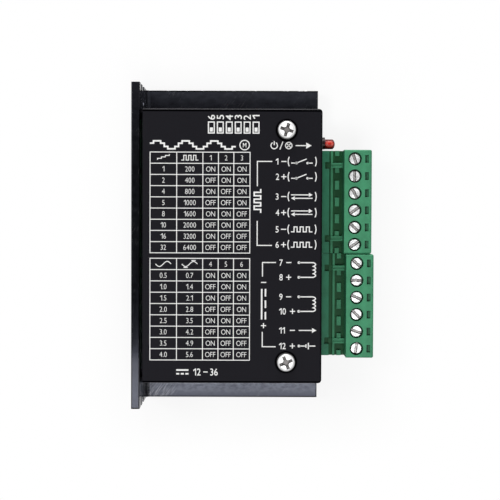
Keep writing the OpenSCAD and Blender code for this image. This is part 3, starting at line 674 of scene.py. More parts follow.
# Share of the ink's height that reaches into its face, and the least step of a path in millimetres
INK_SUNK = 0.2
LEAST_STEP = 1e-6


def place_piece(name, corners, faces, material, body, slot):
    """A mesh object at the origin from corners in millimetres, riding on a body of the frame."""
    mesh = bpy.data.meshes.new(name)
    mesh.from_pydata((np.asarray(corners, float) * MM).tolist(), [], faces)
    mesh.validate()
    mesh.materials.append(material)
    piece = bpy.data.objects.new(name, mesh)
    bpy.context.scene.collection.objects.link(piece)
    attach(piece, body)


def grid_faces(rows, columns):
    """Quads of a grid whose columns close on themselves, with a cap on its first and last row."""
    down, across = np.meshgrid(np.arange(rows - 1), np.arange(columns), indexing="ij")
    after = (across + 1) % columns
    quads = np.stack([
        down * columns + across, down * columns + after,
        (down + 1) * columns + after, (down + 1) * columns + across,
    ], -1).reshape(-1, 4)
    first = np.arange(columns)[::-1]
    last = (rows - 1) * columns + np.arange(columns)
    return quads.tolist() + [first.tolist(), last.tolist()]


def on_circle(angle):
    """Points of a circle of radius 1: the cosine and the sine of each angle, in radians."""
    return np.stack([np.cos(angle), np.sin(angle)], -1)


def rectangle(x, half, low, high):
    """Corners of an upright rectangle: half its width each side of x, from low to high."""
    return [(x - half, low), (x + half, low), (x + half, high), (x - half, high)]


def lathe(profile, centre, sides):
    """A profile of (radius, height) turned about an upright axis at centre: a grid of height and angle."""
    profile = np.asarray(profile, float)
    angle = np.linspace(0.0, 2.0 * np.pi, sides, endpoint=False)
    radius = profile[:, :1]
    corners = np.stack([
        centre[0] + radius * np.cos(angle), centre[1] + radius * np.sin(angle),
        centre[2] + profile[:, 1:] + 0.0 * angle,
    ], -1).reshape(-1, 3)
    return corners, grid_faces(len(profile), sides)


def joined(shapes):
    """Several (corners, faces) shapes as one, with the faces renumbered."""
    corners = np.concatenate([shape[0] for shape in shapes])
    starts = np.cumsum([0] + [len(shape[0]) for shape in shapes[:-1]])
    faces = []
    for start, shape in zip(starts, shapes):
        faces += [[int(corner + start) for corner in face] for face in shape[1]]
    return corners, faces


def figure_one(weight):
    """Outline of the figure one: a stem, and an equally thick flag that falls to its left at a slope."""
    thick = STEM + 2.0 * weight
    stem, fall, slope, under = 0.22, 0.15, 0.6, 1.2 * thick
    flag = CAPITAL - fall
    return np.array([
        (stem, 0.0), (stem + thick, 0.0), (stem + thick, CAPITAL), (fall / slope, CAPITAL),
        (0.0, flag), (0.0, flag - under), (stem, flag - under + slope * stem),
    ])


def prism(outline):
    """A flat outline as a solid from z = -1 to z = 1: two copies of it with sides between them."""
    count = len(outline)
    corners = np.column_stack([np.tile(outline, (2, 1)), np.repeat([-1.0, 1.0], count)])
    return corners, grid_faces(2, count)


@functools.lru_cache(maxsize=None)
def character(letter, weight):
    """Corners and faces of one character whose capitals are CAPITAL high, from x = 0 and z from -1 to 1."""
    if letter == "1":
        return prism(figure_one(weight))
    curve = bpy.data.curves.new("character", "FONT")
    curve.body = letter
    curve.resolution_u = 3
    curve.offset = weight
    curve.extrude = 1.0
    source = bpy.data.objects.new("character", curve)
    bpy.context.scene.collection.objects.link(source)
    ready = source.evaluated_get(bpy.context.evaluated_depsgraph_get())
    mesh = bpy.data.meshes.new_from_object(ready)
    corners = np.zeros(len(mesh.vertices) * 3)
    mesh.vertices.foreach_get("co", corners)
    corners = corners.reshape(-1, 3)
    corners[:, 0] -= corners[:, 0].min()
    faces = [list(face.vertices) for face in mesh.polygons]
    bpy.data.objects.remove(source)
    bpy.data.curves.remove(curve)
    bpy.data.meshes.remove(mesh)
    return corners, faces


def characters(text, weight):
    """Corners and faces of a line of characters set side by side with a gap between them."""
    shapes, right = [], 0.0
    for letter in text:
        corners, faces = character(letter, weight)
        shapes.append((corners + (right, 0.0, 0.0), faces))
        right += corners[:, 0].max() + LETTER_GAP
    return joined(shapes)


class Ink:
    """Print on a flat face, drawn in millimetres along its right and up directions, made into one piece."""

    def __init__(self, looks, origin, right, up):
        self.looks = looks
        self.basis = np.array([right, up, np.cross(right, up)], float)
        self.origin = np.array(origin, float)
        self.line = looks.line / MM
        self.shapes = []

    def solid(self, flat, faces, height):
        """Adds corners given as (right, up) with a share of the ink's height for each."""
        rise = ((1.0 + INK_SUNK) * np.asarray(height, float) - INK_SUNK) * self.looks.height / MM
        local = np.column_stack([np.asarray(flat, float), rise])
        self.shapes.append((self.origin + local @ self.basis, faces))

    def stroke(self, points, width=None, closed=False):
        """A band along a path: every point moves both ways along the mitre of its two segments."""
        path = np.asarray(points, float)
        moved = np.linalg.norm(np.diff(path, axis=0), axis=1) > LEAST_STEP
        path = path[np.concatenate([[True], moved])]
        after = np.roll(path, -1, 0) - path
        before = path - np.roll(path, 1, 0)
        if not closed:
            after[-1] = before[-1]
            before[0] = after[0]
        first, second = (
            np.stack([-way[:, 1], way[:, 0]], 1) / np.linalg.norm(way, axis=1, keepdims=True)
            for way in (before, after)
        )
        mitre = (first + second) / (1.0 + (first * second).sum(1, keepdims=True))
        half = mitre * (width or self.line) / 2.0
        ring = np.stack([path + half, path - half, path - half, path + half], 1).reshape(-1, 2)
        height = np.tile([1.0, 1.0, 0.0, 0.0], len(path))
        faces = grid_faces(len(path), 4)
        if closed:
            last = 4 * (len(path) - 1)
            seam = [[last + k, last + (k + 1) % 4, (k + 1) % 4, k] for k in range(4)]
            faces = faces[:-2] + seam
        self.solid(ring, faces, height)

    def fill(self, points):
        """A filled outline: its corners at the top and bottom of the ink, with sides between them."""
        flat = np.asarray(points, float)
        count = len(flat)
        self.solid(np.concatenate([flat, flat]), grid_faces(2, count), np.repeat([0.0, 1.0], count))

    def arc(self, centre, radius, start=0.0, end=360.0):
        """A band along part of a circle, its angles in degrees."""
        closed = end - start >= 360.0
        angle = np.radians(np.linspace(start, end, 25, endpoint=not closed))
        self.stroke(np.asarray(centre) + radius * on_circle(angle), closed=closed)

    def dot(self, centre, radius):
        """A filled disc."""
        angle = np.linspace(0.0, 2.0 * np.pi, 20, endpoint=False)
        self.fill(np.asarray(centre) + radius * on_circle(angle))

    def arrow(self, tail, tip, size):
        """A line with a filled head at its tip."""
        tail, tip = np.asarray(tail, float), np.asarray(tip, float)
        way = (tip - tail) / np.linalg.norm(tip - tail)
        barb = 0.55 * size * np.array([-way[1], way[0]])
        foot = tip - size * way
        self.stroke([tail, tip - 0.9 * size * way])
        self.fill([tip, foot + barb, foot - barb])

    def minus(self, centre, size):
        """A minus sign."""
        x, y = centre
        self.stroke([(x - size / 2, y), (x + size / 2, y)])

    def plus(self, centre, size):
        """A plus sign: a bar and two halves that meet it."""
        self.minus(centre, size)
        x, y = centre
        for side in (-1.0, 1.0):
            self.stroke([(x, y + side * self.line / 2), (x, y + side * size / 2)])

    def write(self, text, at, height, anchor=0.5, turned=False, wide=1.0, weight=None):
        """Characters of a height in millimetres; anchor is the share of their width left of at."""
        corners, faces = characters(text, self.looks.weight if weight is None else weight)
        size = height / CAPITAL
        across = corners[:, 0] * size * self.looks.narrow * wide
        across = across - anchor * across.max()
        flat = np.column_stack([across, corners[:, 1] * size - height / 2])
        if turned:
            flat = np.column_stack([-flat[:, 1], flat[:, 0]])
        self.solid(flat + np.asarray(at, float), faces, corners[:, 2] * 0.5 + 0.5)

    def piece(self, name, material):
        """Makes everything drawn so far one piece that rides on the case."""
        place_piece(name, *joined(self.shapes), material, CASE, "print_white")


# What the print shows, in millimetres on the cover's face

TABLE_LEFT = -22.45
TABLE_COLUMNS = (7.8, 7.65, 4.55, 4.5, 4.75)
TABLE_ROWS = 9
TABLE_SWITCHES = 3
TABLE_TEXT = 1.55
PIN_TEXT = 1.85
SIGN = 1.5
STEP_COUNTS = (1, 2, 4, 5, 8, 10, 16, 32)
FULL_STEPS = 200
CURRENT_STEP = 0.5
PEAK_RATIO = 1.4
SIGNAL_ROWS = (24.85, 20.4, 14.6, 9.9, 5.0, 0.5)
POWER_ROWS = (-4.75, -9.06, -14.8, -19.07, -24.67, -29.27)

# Widths of lines that differ from the drawn lines' own
PICTURE_LINE = 0.25
PEAK_LINE = 0.22
CONTACT_LINE = 0.29
CROSS_LINE = 0.3
LEAD_LINE = 0.31
SYMBOL_LINE = 0.33
PLATE_LINE = 0.34
TRAIN_LINE = 0.42
BOLD_LINE = 0.46


def print_on_cover(context, drawings):
    """Makes a piece of print on the cover's front face from each name and its drawing function."""
    looks = context.scene.driver_print
    material = ink_finish(looks)
    front = (0.0, 0.0, box_mm("cover")[1][2])
    for name, draw in drawings.items():
        ink = Ink(looks, front, (1.0, 0.0, 0.0), (0.0, 1.0, 0.0))
        draw(ink)
        ink.piece(name, material)


def stair_wave(left, right, middle, height, periods, steps):
    """A sine held level over each step: every step gives its two ends at the sine of its middle."""
    ends = np.linspace(left, right, periods * steps + 1)
    turn = 2.0 * np.pi * (np.arange(periods * steps) + 0.5) / steps
    level = middle + height / 2 * np.sin(turn)
    return np.column_stack([np.repeat(ends, 2)[1:-1], np.repeat(level, 2)])


def square_wave(left, right, low, high, pulses):
    """A train of square pulses: each edge of the train gives a low and a high point."""
    edges = np.linspace(left, right, 2 * pulses + 2)
    level = np.where(np.arange(2 * pulses + 1) % 2 == 0, low, high)
    return np.column_stack([np.repeat(edges, 2)[1:-1], np.repeat(level, 2)])


def step_picture(ink, centre):
    """A short flight of steps."""
    run, rise = 1.15, 0.42
    corners = [(k // 2 + k % 2, k // 2) for k in range(1, 9)]
    ink.stroke(np.asarray(centre) + (np.array(corners) - (2.5, 1.5)) * (run, rise), PICTURE_LINE)


def pulse_picture(ink, centre):
    """A short train of pulses."""
    wave = square_wave(left=-2.5, right=2.5, low=-0.7, high=0.7, pulses=3)
    ink.stroke(np.asarray(centre) + wave, PICTURE_LINE)


def wave_picture(ink, centre, peak):
    """One period of a sine, with a bar past its crest and its trough where the peak is meant."""
    half, height, bar, past = 2.3, 0.75, 0.6, 1.05
    along = np.linspace(-half, half, 33)
    sine = np.column_stack([along, height * np.sin(along * np.pi / half)])
    ink.stroke(np.asarray(centre) + sine, PICTURE_LINE)
    if peak:
        for side in (-1.0, 1.0):
            ends = np.array([(-bar, 0.0), (bar, 0.0)]) + (side * half / 2, side * past)
            ink.stroke(np.asarray(centre) + ends, PEAK_LINE)


def setting_table(ink, pictures, values, top, height, first_switch):
    """A ruled table: two value columns, and the states of its switches for each row."""
    lines = TABLE_LEFT + np.cumsum((0.0,) + TABLE_COLUMNS)
    pitch = height / TABLE_ROWS
    levels = top - pitch * np.arange(TABLE_ROWS + 1)
    rule, weight = ink.looks.rule / MM, ink.looks.table_weight
    half = rule / 2
    for y in levels:
        ink.stroke([(lines[0] - half, y), (lines[-1] + half, y)], rule)
    for x in lines:
        for upper, lower in zip(levels, levels[1:]):
            ink.stroke([(x, upper - half), (x, lower + half)], rule)
    middles = (lines[:-1] + lines[1:]) / 2
    for draw, x in zip(pictures, middles):
        draw(ink, (x, top - pitch / 2))
    for k in range(TABLE_SWITCHES):
        ink.write(str(first_switch + k), (middles[2 + k], top - pitch / 2), TABLE_TEXT, weight=weight)
    for row, pair in enumerate(values):
        y = top - (row + 1.5) * pitch
        states = ["OFF" if row >> k & 1 else "ON" for k in range(TABLE_SWITCHES)]
        for x, text in zip(middles, [*pair, *states]):
            ink.write(text, (x, y), TABLE_TEXT, weight=weight)


def step_table(ink):
    """Settings of the parts that a step is divided into, and the steps in a turn."""
    rows = [(str(count), str(count * FULL_STEPS)) for count in STEP_COUNTS]
    setting_table(ink, (step_picture, pulse_picture), rows, top=27.5, height=29.5, first_switch=1)


def current_table(ink):
    """Settings of the current, and its peak."""
    amps = [CURRENT_STEP * (row + 1) for row in range(len(STEP_COUNTS))]
    rows = [(f"{value:.1f}", f"{value * PEAK_RATIO:.1f}") for value in amps]
    pictures = [functools.partial(wave_picture, peak=peak) for peak in (False, True)]
    setting_table(ink, pictures, rows, top=-3.6, height=29.9, first_switch=1 + TABLE_SWITCHES)


def lamp_label(ink, left, right, y):
    """Power symbol, stroke, lamp symbol and an arrow to the lamp."""
    radius, slash = 0.95, 1.15
    ink.arc((left + radius, y), radius, 120.0, 420.0)
    ink.stroke([(left + radius, y + 0.1), (left + radius, y + 1.25)])
    ink.stroke([(left + 2.6, y - slash), (left + 3.5, y + slash)])
    centre = np.array([left + 5.2, y])
    ink.arc(centre, radius)
    for angle in (45.0, 135.0):
        way = (radius - ink.line / 2) * on_circle(np.radians(angle))
        ink.stroke([centre - way, centre + way], CROSS_LINE)
    ink.arrow((left + 7.2, y), (right, y), 1.6)


def switch_label(ink, number, x, low, high):
    """A slide switch and its number, reading upwards."""
    ink.stroke(rectangle(x, 0.85, low, low + 3.2), SYMBOL_LINE, closed=True)
    ink.fill(rectangle(x, 0.45, low + 0.4, low + 1.6))
    ink.write(str(number), (x, high), 2.1, anchor=1.0, turned=True, wide=1.3)


def contact_picture(ink, left, right, y):
    """A make contact: two leads with a lever that stands off the second one."""
    gap, dot = (right - left) * 0.24, 0.36
    lead, tip = y - 0.45, y + 0.75
    ink.stroke([(left, lead), (left + gap, lead), (right - gap - 0.3, tip)], CONTACT_LINE)
    ink.dot((left + gap, lead), dot)
    ink.stroke([(right - gap, lead), (right, lead)], CONTACT_LINE)
    ink.dot((right - gap, lead), dot)


def direction_picture(ink, left, right, y):
    """Two arrows that point opposite ways."""
    apart, head = 0.5, 1.1
    ink.arrow((left, y + apart), (right, y + apart), head)
    ink.arrow((right, y - apart), (left, y - apart), head)


def train_picture(ink, left, right, y):
    """A train of three pulses."""
    ink.stroke(square_wave(left, right, y - 0.72, y + 0.72, 3), CROSS_LINE)


def pole_marks(ink, number, left, sign, y):
    """A pole's number, and a sign that is a minus for odd poles and a plus for even ones."""
    ink.write(str(number), (left, y), PIN_TEXT, anchor=0.0)
    draw = ink.minus if number % 2 else ink.plus
    draw((sign, y), SIGN)


def signal_rows(ink, left, right):
    """Pole number, sign and a bracketed picture for each signal pole."""
    pictures = (contact_picture, direction_picture, train_picture)
    radius, half = 3.1, 26.0
    for index, y in enumerate(SIGNAL_ROWS):
        pole_marks(ink, index + 1, left, left + 2.35, y)
        ink.arc((left + 6.7, y), radius, 180.0 - half, 180.0 + half)
        pictures[index // 2](ink, left + 4.5, right - 1.05, y)
        ink.arc((right - radius, y), radius, -half, half)


def coil_symbol(ink, left, right, high, low):
    """Two leads from their dots to a winding of four turns that bulge to the right."""
    turns, dot = 4, 0.4
    depth = 1.25 * (high - low) / turns / 2
    along = np.linspace(0.0, turns * np.pi, turns * 8 + 1)
    bulge = depth * np.abs(np.sin(along)) ** 0.8
    fall = along / (turns * np.pi) * (high - low)
    winding = np.column_stack([right - depth + bulge, high - fall])
    ink.stroke(np.concatenate([[(left, high)], winding, [(left, low)]]), SYMBOL_LINE)
    for y in (high, low):
        ink.dot((left, y), dot)


def cell_symbol(ink, left, right, y):
    """A lead, the two plates of a cell and another lead."""
    gap, short, tall, dot = 0.35, 0.5, 0.95, 0.4
    middle = (left + right) / 2
    first, second = middle - gap, middle + gap
    ink.dot((left, y), dot)
    ink.stroke([(left, y), (first, y)], LEAD_LINE)
    ink.stroke([(second, y), (right, y)], LEAD_LINE)
    ink.stroke([(first, y - short), (first, y + short)], PLATE_LINE)
    ink.stroke([(second, y - tall), (second, y + tall)], PLATE_LINE)


def power_rows(ink, left, right):
    """Pole number and sign for each power pole, with two windings, an arrow and a cell."""
    for number, y in enumerate(POWER_ROWS, len(SIGNAL_ROWS) + 1):
        sign = left + 1.6 + 1.15 * len(str(number))
        pole_marks(ink, number, left, sign, y)
    lead = right - 4.9
    coil_symbol(ink, lead, right, POWER_ROWS[0], POWER_ROWS[1])
    coil_symbol(ink, lead, right, POWER_ROWS[2], POWER_ROWS[3])
    ink.arrow((lead, POWER_ROWS[4]), (right + 0.3, POWER_ROWS[4]), 1.3)
    cell_symbol(ink, right - 4.8, right, POWER_ROWS[5])


def bracket(ink, x, high, low, gap_high, gap_low, reach):
    """A bracket open to the right, broken over a gap where something stands in it."""
    ink.stroke([(reach, high), (x, high), (x, gap_high)])
    ink.stroke([(x, gap_low), (x, low), (reach, low)])


def direct_symbol(ink, centre, length, upright):
    """Direct current: a line over three dashes, along X or along Y."""
    gap, dash = 0.55, length / 4
    bars = [[(-length / 2, gap), (length / 2, gap)]]
    bars += [[(k * 1.5 * dash - dash / 2, -gap), (k * 1.5 * dash + dash / 2, -gap)] for k in (-1, 0, 1)]
    for bar in np.array(bars):
        turned = bar[:, ::-1] * (-1.0, 1.0) if upright else bar
        ink.stroke(np.asarray(centre) + turned, BOLD_LINE)


def title_marks(ink):
    """A stair wave that runs to a motor's symbol."""
    motor = (5.2, 29.6)
    wave = stair_wave(left=-22.5, right=2.6, middle=motor[1], height=2.5, periods=3, steps=8)
    ink.stroke(wave, BOLD_LINE)
    ink.arc(motor, 1.4)
    ink.write("M", motor, 1.3)


def switch_and_lamp_marks(ink):
    """Labels of the switches from right to left, and the lamp's label."""
    right, pitch = 8.52, 2.614
    for index in range(2 * TABLE_SWITCHES):
        switch_label(ink, index + 1, right - pitch * index, low=33.1, high=38.4)
    lamp_label(ink, left=12.9, right=24.8, y=29.5)


def signal_marks(ink):
    """Rows of the signal poles, and a bracket round them with a train of pulses in its gap."""
    bracket(ink, x=8.95, high=SIGNAL_ROWS[0], low=0.26, gap_high=17.6, gap_low=7.44, reach=13.3)
    signal_rows(ink, left=14.35, right=26.2)
    train = square_wave(left=9.8, right=16.8, low=-0.95, high=0.95, pulses=3)
    ink.stroke(np.column_stack([9.0 - train[:, 1], train[:, 0]]), TRAIN_LINE)


def power_marks(ink):
    """Rows of the power poles, and a bracket round them with direct current and its signs in its gap."""
    bracket(ink, x=10.55, high=POWER_ROWS[0], low=-29.5, gap_high=-8.88, gap_low=-25.15, reach=14.5)
    power_rows(ink, left=15.5, right=26.15)
    middle = 10.9
    direct_symbol(ink, (middle, -17.0), length=9.0, upright=True)
    ink.minus((middle, -10.6), SIGN)
    ink.plus((middle, -23.3), SIGN)


def supply_marks(ink):
    """Direct current and a plain range."""
    y, text = -37.0, 2.05
    direct_symbol(ink, (-12.9, y), length=3.6, upright=False)
    ink.write("12", (-8.6, y), text)
    ink.minus((-6.1, y), 1.3)
    ink.write("36", (-3.6, y), text)


# Operators


class DRIVER_OT_case(Operator):
    """Finish the heat sink and the cover"""

    bl_idname = "driver.case"
    bl_label = "Heat sink and cover"

    def execute(self, context):
        looks = context.scene.driver_case
        low, high = box_mm("heat_sink")
        dress(["heat_sink"], anodised_finish(looks, low, high[2]))
        low, high = box_mm("cover_screws")
        screw = ((low[0] + high[0]) / 2, high[1] - (high[0] - low[0]) / 2)
        top = box_mm("cover")[1]
        dress(["cover"], coated_finish(looks, screw, float(top[1]), float(top[2])))
        return {"FINISHED"}


class DRIVER_OT_fasteners(Operator):
    """Finish the screws, standoffs and spacers"""

    bl_idname = "driver.fasteners"
    bl_label = "Screws and standoffs"

    def execute(self, context):
        looks = context.scene.driver_metal
        for name in ("cover_screws", "board_screws"):
            low, high = box_mm(name)
            apart = high[1] - low[1] - SCREW_HEAD
            axis = (low[0] + SCREW_HEAD / 2, high[1] - SCREW_HEAD / 2)
            finish = f"bright_steel_{name}"
            dress([name], turned_finish(finish, looks, looks.steel, looks.bed, 0.42, axis, apart, high[2]))
        dress(["cover_standoffs"], metal_finish("brass", looks.brass, 0.28, (0.3, 0.3, 6.0)))
        nylon = moulded_finish("nylon_white", (0.78, 0.78, 0.74), 0.45, context.scene.driver_plastic)
        dress(["board_spacers"], nylon)
        return {"FINISHED"}


class DRIVER_OT_terminals(Operator):
    """Finish the plugs, headers, contacts, terminal screws and wire clamps"""

    bl_idname = "driver.terminals"
    bl_label = "Terminals"

    def execute(self, context):
        metal = context.scene.driver_metal
        plastics = context.scene.driver_plastic
        neck_top = box_mm("signal_header")[1][2] - NECK_DROP
        for name in ("signal_plug", "power_plug"):
            high = box_mm(name)[1]
            shoulder = (high[0] - PLUG_DEPTH, neck_top, high[2])
            finish = f"terminal_green_{name}"
            dress([name], moulded_finish(finish, plastics.plug, 0.44, plastics, dark=shoulder))
        green = moulded_finish("header_green", plastics.header, 0.42, plastics)
        dress(["signal_header", "power_header"], green)
        brass = metal_finish("contact_brass", metal.contact, 0.26, (6.0, 0.3, 0.3))
        dress(["signal_plug_contacts", "power_plug_contacts"], brass)
        tin = metal_finish("pin_tin", metal.tin, 0.24, (5.0, 0.2, 0.2))
        dress(["signal_header_pins", "power_header_pins"], tin)
        dress(named("wire_clamp_"), metal_finish("clamp_tin", metal.tin, 0.3, (0.4, 0.4, 3.0)))
        screws = named("terminal_screw_")
        half = len(screws) // 2
        for row in (screws[:half], screws[half:]):
            first, second = middle_mm(row[0]), middle_mm(row[1])
            apart = abs(first[1] - second[1])
            top = box_mm(row[0])[1][2]
            finish = f"dull_steel_{row[0]}"
            dress(row, turned_finish(finish, metal, metal.dull, metal.dull_bed, 0.28, first, apart, top))
        return {"FINISHED"}


class DRIVER_OT_lamp(Operator):
    """Finish the status lamp and give it the frame that holds its die"""

    bl_idname = "driver.lamp"
    bl_label = "Status lamp"

    def execute(self, context):
        resin = context.scene.driver_plastic
        low, high = box_mm("status_lamp")
        middle = middle_mm("lamp_leads")[1]
        dress(["status_lamp"], resin_finish(resin, middle, low[0] + LAMP_FLANGE, high[0]))
        tin = metal_finish("lead_tin", context.scene.driver_metal.tin, 0.25, (4.0, 0.2, 0.2))
        dress(["lamp_leads"], tin)
        cup = [
            (0.18, -1.1), (0.18, -0.2), (0.42, 0.0), (0.46, 0.28),
            (0.34, 0.28), (0.2, 0.06), (0.02, 0.06),
        ]
        corners, faces = lathe(cup, (0.0, 0.0, 0.0), 16)
        along = corners[:, [2, 1, 0]] * (1.0, 1.0, -1.0)
        place = (low[0] + CUP_PLACE, middle, (low[2] + high[2]) / 2)
        place_piece("lamp_die_cup", along + place, faces, tin, CASE, "tinned_metal")
        return {"FINISHED"}


class DRIVER_OT_switches(Operator):
    """Finish the switch block and its sliders, and number its face"""

    bl_idname = "driver.switches"
    bl_label = "Switch block"

    def execute(self, context):
        plastics = context.scene.driver_plastic
        looks = context.scene.driver_print
        sliders = named("switch_slider_")
        dress(["switch_body"], moulded_finish("switch_red", plastics.switch, 0.36, plastics))
        dress(sliders, moulded_finish("slider_white", plastics.slider, 0.4, plastics, SHARP_EDGE))
        tin = metal_finish("switch_tin", context.scene.driver_metal.tin, 0.3, (0.2, 0.2, 4.0))
        dress(["switch_pins"], tin)
        low, high = box_mm("switch_body")
        ink = Ink(looks, (0.0, high[1], 0.0), (-1.0, 0.0, 0.0), (0.0, 0.0, 1.0))
        text, arrow = 1.15, -high[0] + 4.2
        for number, name in enumerate(sliders, 1):
            ink.write(str(number), (-middle_mm(name)[0], low[2] + 1.0), text)
        ink.write("ON", (-high[0] + 1.7, high[2] - 1.0), text)
        ink.arrow((arrow, high[2] - 1.55), (arrow, high[2] - 0.4), 0.7)
        ink.piece("switch_face_print", ink_finish(looks))
        return {"FINISHED"}


class DRIVER_OT_board(Operator):
    """Finish the circuit board and its parts, and solder their leads"""

    bl_idname = "driver.board"
    bl_label = "Circuit board"

    def execute(self, context):
        looks = context.scene.driver_board
        plastics = context.scene.driver_plastic
        dress(["circuit_board"], board_finish(looks))
        black = moulded_finish("chip_black", looks.package, 0.5, plastics)
        dress(["driver_chip", "regulator", "supply_diode"], black)
        for name, finish, colour, roughness, edge in (
            ("sense_resistors", "resistor_black", looks.package, 0.3, MOULD_EDGE),
            ("optocouplers", "coupler_white", (0.72, 0.71, 0.66), 0.5, MOULD_EDGE),
            ("chip_passives", "passive_tan", (0.42, 0.31, 0.19), 0.4, MOULD_EDGE),
            ("thermal_pad", "pad_grey", (0.26, 0.33, 0.41), 0.7, SOFT_EDGE),
        ):
            dress([name], moulded_finish(finish, colour, roughness, plastics, edge))
        dress(["bulk_capacitors"], capacitor_finish(looks, box_mm("bulk_capacitors")[1][2]))
        solder = metal_finish("solder_tin", context.scene.driver_metal.tin, 0.2, 1.5)
        place_piece("header_solder", *self.fillets(), solder, CASE, "tinned_metal")
        return {"FINISHED"}

    def fillets(self):
        """A cone of solder under the board at each header leg: a radius that falls off as a square."""
        waist, flare, height = 0.55, 0.55, 0.9
        under = box_mm("circuit_board")[0][2]
        drop = np.linspace(0.0, 1.0, 7)
        profile = np.column_stack([waist + flare * (1.0 - drop) ** 2, -height * drop])[::-1]
        poles = [middle_mm(name)[1] for name in named("terminal_screw_")]
        shapes = []
        for side in ("signal", "power"):
            low, high = box_mm(f"{side}_header_pins")
            legs = [y for y in poles if low[1] < y < high[1]]
            shapes += [lathe(profile, (low[0] + LEG_MIDDLE, y, under), 14) for y in legs]
        return joined(shapes)


class DRIVER_OT_tables(Operator):
    """Print the two setting tables on the cover"""

    bl_idname = "driver.tables"
    bl_label = "Setting tables"

    def execute(self, context):
        print_on_cover(context, {"step_table_print": step_table, "current_table_print": current_table})
        return {"FINISHED"}


class DRIVER_OT_marks(Operator):
    """Print the wave, the switch and lamp labels and the marks of the poles on the cover"""

    bl_idname = "driver.marks"
    bl_label = "Cover marks"

    def execute(self, context):
        print_on_cover(context, {
            "title_print": title_marks,
            "switch_and_lamp_print": switch_and_lamp_marks,
            "signal_print": signal_marks,
            "power_print": power_marks,
            "supply_print": supply_marks,
        })
        return {"FINISHED"}


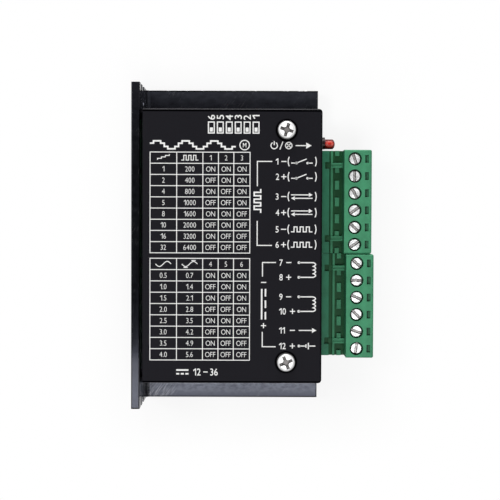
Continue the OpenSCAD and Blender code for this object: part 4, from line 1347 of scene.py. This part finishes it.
class DRIVER_OT_stage(Operator):
    """Set up the floor, the lamps, the surroundings and the camera"""

    bl_idname = "driver.stage"
    bl_label = "Stage"

    def execute(self, context):
        looks = context.scene.driver_stage
        context.scene.view_settings.view_transform = "Standard"
        self.floor(context, looks)
        self.surroundings(context, looks)
        self.lamp(context, "overhead_lamp", (0.02, -0.4, 1.3), (0.0, -0.03, 0.0), (0.5, 0.46), looks.bank)
        self.lamp(context, "key_lamp", (-0.55, 0.2, 1.05), (0.0, 0.0, 0.0), (0.3, 0.3), looks.key)
        self.lamp(context, "back_lamp", (0.0, 1.1, 0.3), (0.0, 0.0, 0.02), (0.5, 0.5), looks.back)
        self.camera(context, looks)
        return {"FINISHED"}

    def floor(self, context, looks):
        """A pale floor that takes shadows near the object and is plain white to the camera further out."""
        reach, level = looks.floor_size / 2, -0.2 * MM
        corners = [(x, y, level) for x, y in rectangle(0.0, reach, -reach, reach)]
        mesh = bpy.data.meshes.new("floor")
        mesh.from_pydata(corners, [], [[0, 1, 2, 3]])
        floor = bpy.data.objects.new("floor", mesh)
        context.scene.collection.objects.link(floor)
        made = Finish.named("floor_pale")
        low, high = np.array(CAD_BOX) / MM
        middle, half = ((low + high) / 2).tolist(), ((high - low) / 2).tolist()
        x, y = ((abs(side - middle[k]) - half[k]).most(0.0) for k, side in enumerate(made.axes()[:2]))
        far = x.distance(y).step(1.0, 24.0)
        seen = made.node("ShaderNodeLightPath", output="Is Camera Ray")
        dust = made.noise(30.0)
        colour = made.mix(dust, shaded(looks.floor, 0.99), looks.floor)
        matt = made.node("ShaderNodeBsdfDiffuse", {}, {"Color": colour})
        white = made.node("ShaderNodeEmission", {}, {"Color": WHITE, "Strength": 1.0})
        share = seen * (1.0 - looks.shadow * (1.0 - far))
        shader = made.node("ShaderNodeMixShader", {}, {0: share, 1: matt, 2: white})
        mesh.materials.append(made.close(shader))

    def surroundings(self, context, looks):
        """White to the camera, a plain light, and for reflections a grey room with a bright strip.

        The room is dark straight overhead, where the camera's hood is.
        """
        made = Finish(bpy.data.worlds.new("studio"))
        camera, glossy, through = (
            made.node("ShaderNodeLightPath", output=f"Is {kind} Ray")
            for kind in ("Camera", "Glossy", "Transmission")
        )
        _, ahead, rise = made.parts(made.node("ShaderNodeTexCoord", output="Generated"))
        around = looks.horizon + rise.step(0.1, 0.6) * (looks.ceiling - looks.horizon)
        around = around * (1.0 - rise.step(0.972, 0.99) * looks.hood)
        around = around + ahead.step(0.08, 0.13) * ahead.step(0.26, 0.2) * looks.strip
        level = looks.sky + glossy.most(through) * (around - looks.sky)
        level = level + camera * (1.0 - level)
        sky = made.node("ShaderNodeBackground", {}, {"Color": WHITE, "Strength": level})
        context.scene.world = made.close(sky, "ShaderNodeOutputWorld")

    def lamp(self, context, name, place, aim, size, brightness):
        """A soft rectangular lamp whose face has a brightness: power is brightness times area times pi."""
        data = bpy.data.lights.new(name, "AREA")
        data.shape = "RECTANGLE"
        data.size, data.size_y = size
        data.energy = brightness * size[0] * size[1] * math.pi
        lamp = bpy.data.objects.new(name, data)
        lamp.location = place
        lamp.rotation_euler = (Vector(place) - Vector(aim)).to_track_quat("Z", "Y").to_euler()
        context.scene.collection.objects.link(lamp)

    def camera(self, context, looks):
        """A camera above the object, turned back by the tilt so that the object keeps its own frame."""
        data = bpy.data.cameras.new("camera")
        data.sensor_width = SENSOR_MM
        data.lens = looks.focal * SENSOR_MM / IMAGE_PIXELS
        data.clip_start = 0.01
        turn_x, turn_y, turn_z = (Matrix.Rotation(turn, 3, axis) for turn, axis in zip(looks.tilt, "XYZ"))
        back = (turn_z @ turn_y @ turn_x).transposed()
        place = Vector(looks.aim) + back @ Vector((0, 0, looks.distance))
        camera = bpy.data.objects.new("camera", data)
        camera.matrix_world = Matrix.Translation(place) @ back.to_4x4()
        context.scene.collection.objects.link(camera)
        context.scene.camera = camera


class DRIVER_PT_looks(Panel):
    """Lists the pieces of the driver module"""

    bl_idname = "DRIVER_PT_looks"
    bl_label = "Stepper driver module"
    bl_space_type = "VIEW_3D"
    bl_region_type = "UI"
    bl_category = "Driver"

    def draw(self, context):
        for operator in OPERATORS:
            self.layout.operator(operator.bl_idname)
        for group in GROUPS:
            box = self.layout.box()
            looks = getattr(context.scene, group)
            for key in looks.bl_rna.properties.keys():
                if key not in ("rna_type", "name"):
                    box.prop(looks, key)


GROUPS = {
    "driver_case": CaseLooks,
    "driver_metal": MetalLooks,
    "driver_plastic": PlasticLooks,
    "driver_board": BoardLooks,
    "driver_print": PrintLooks,
    "driver_stage": StageLooks,
}
OPERATORS = (
    DRIVER_OT_case, DRIVER_OT_fasteners, DRIVER_OT_terminals, DRIVER_OT_lamp, DRIVER_OT_switches,
    DRIVER_OT_board, DRIVER_OT_tables, DRIVER_OT_marks, DRIVER_OT_stage,
)


def register():
    """Registers the groups of values, the operators and the panel."""
    for name, group in GROUPS.items():
        bpy.utils.register_class(group)
        setattr(bpy.types.Scene, name, PointerProperty(type=group))
    for cls in (*OPERATORS, DRIVER_PT_looks):
        bpy.utils.register_class(cls)


def unregister():
    """Takes them out again, last first."""
    for cls in (DRIVER_PT_looks, *reversed(OPERATORS)):
        bpy.utils.unregister_class(cls)
    for name, group in reversed(GROUPS.items()):
        delattr(bpy.types.Scene, name)
        bpy.utils.unregister_class(group)


def main():
    """Makes every piece in order."""
    register()
    bpy.ops.driver.stage()
    bpy.ops.driver.case()
    bpy.ops.driver.fasteners()
    bpy.ops.driver.terminals()
    bpy.ops.driver.lamp()
    bpy.ops.driver.switches()
    bpy.ops.driver.board()
    bpy.ops.driver.tables()
    bpy.ops.driver.marks()


if __name__ == "__main__":
    main()
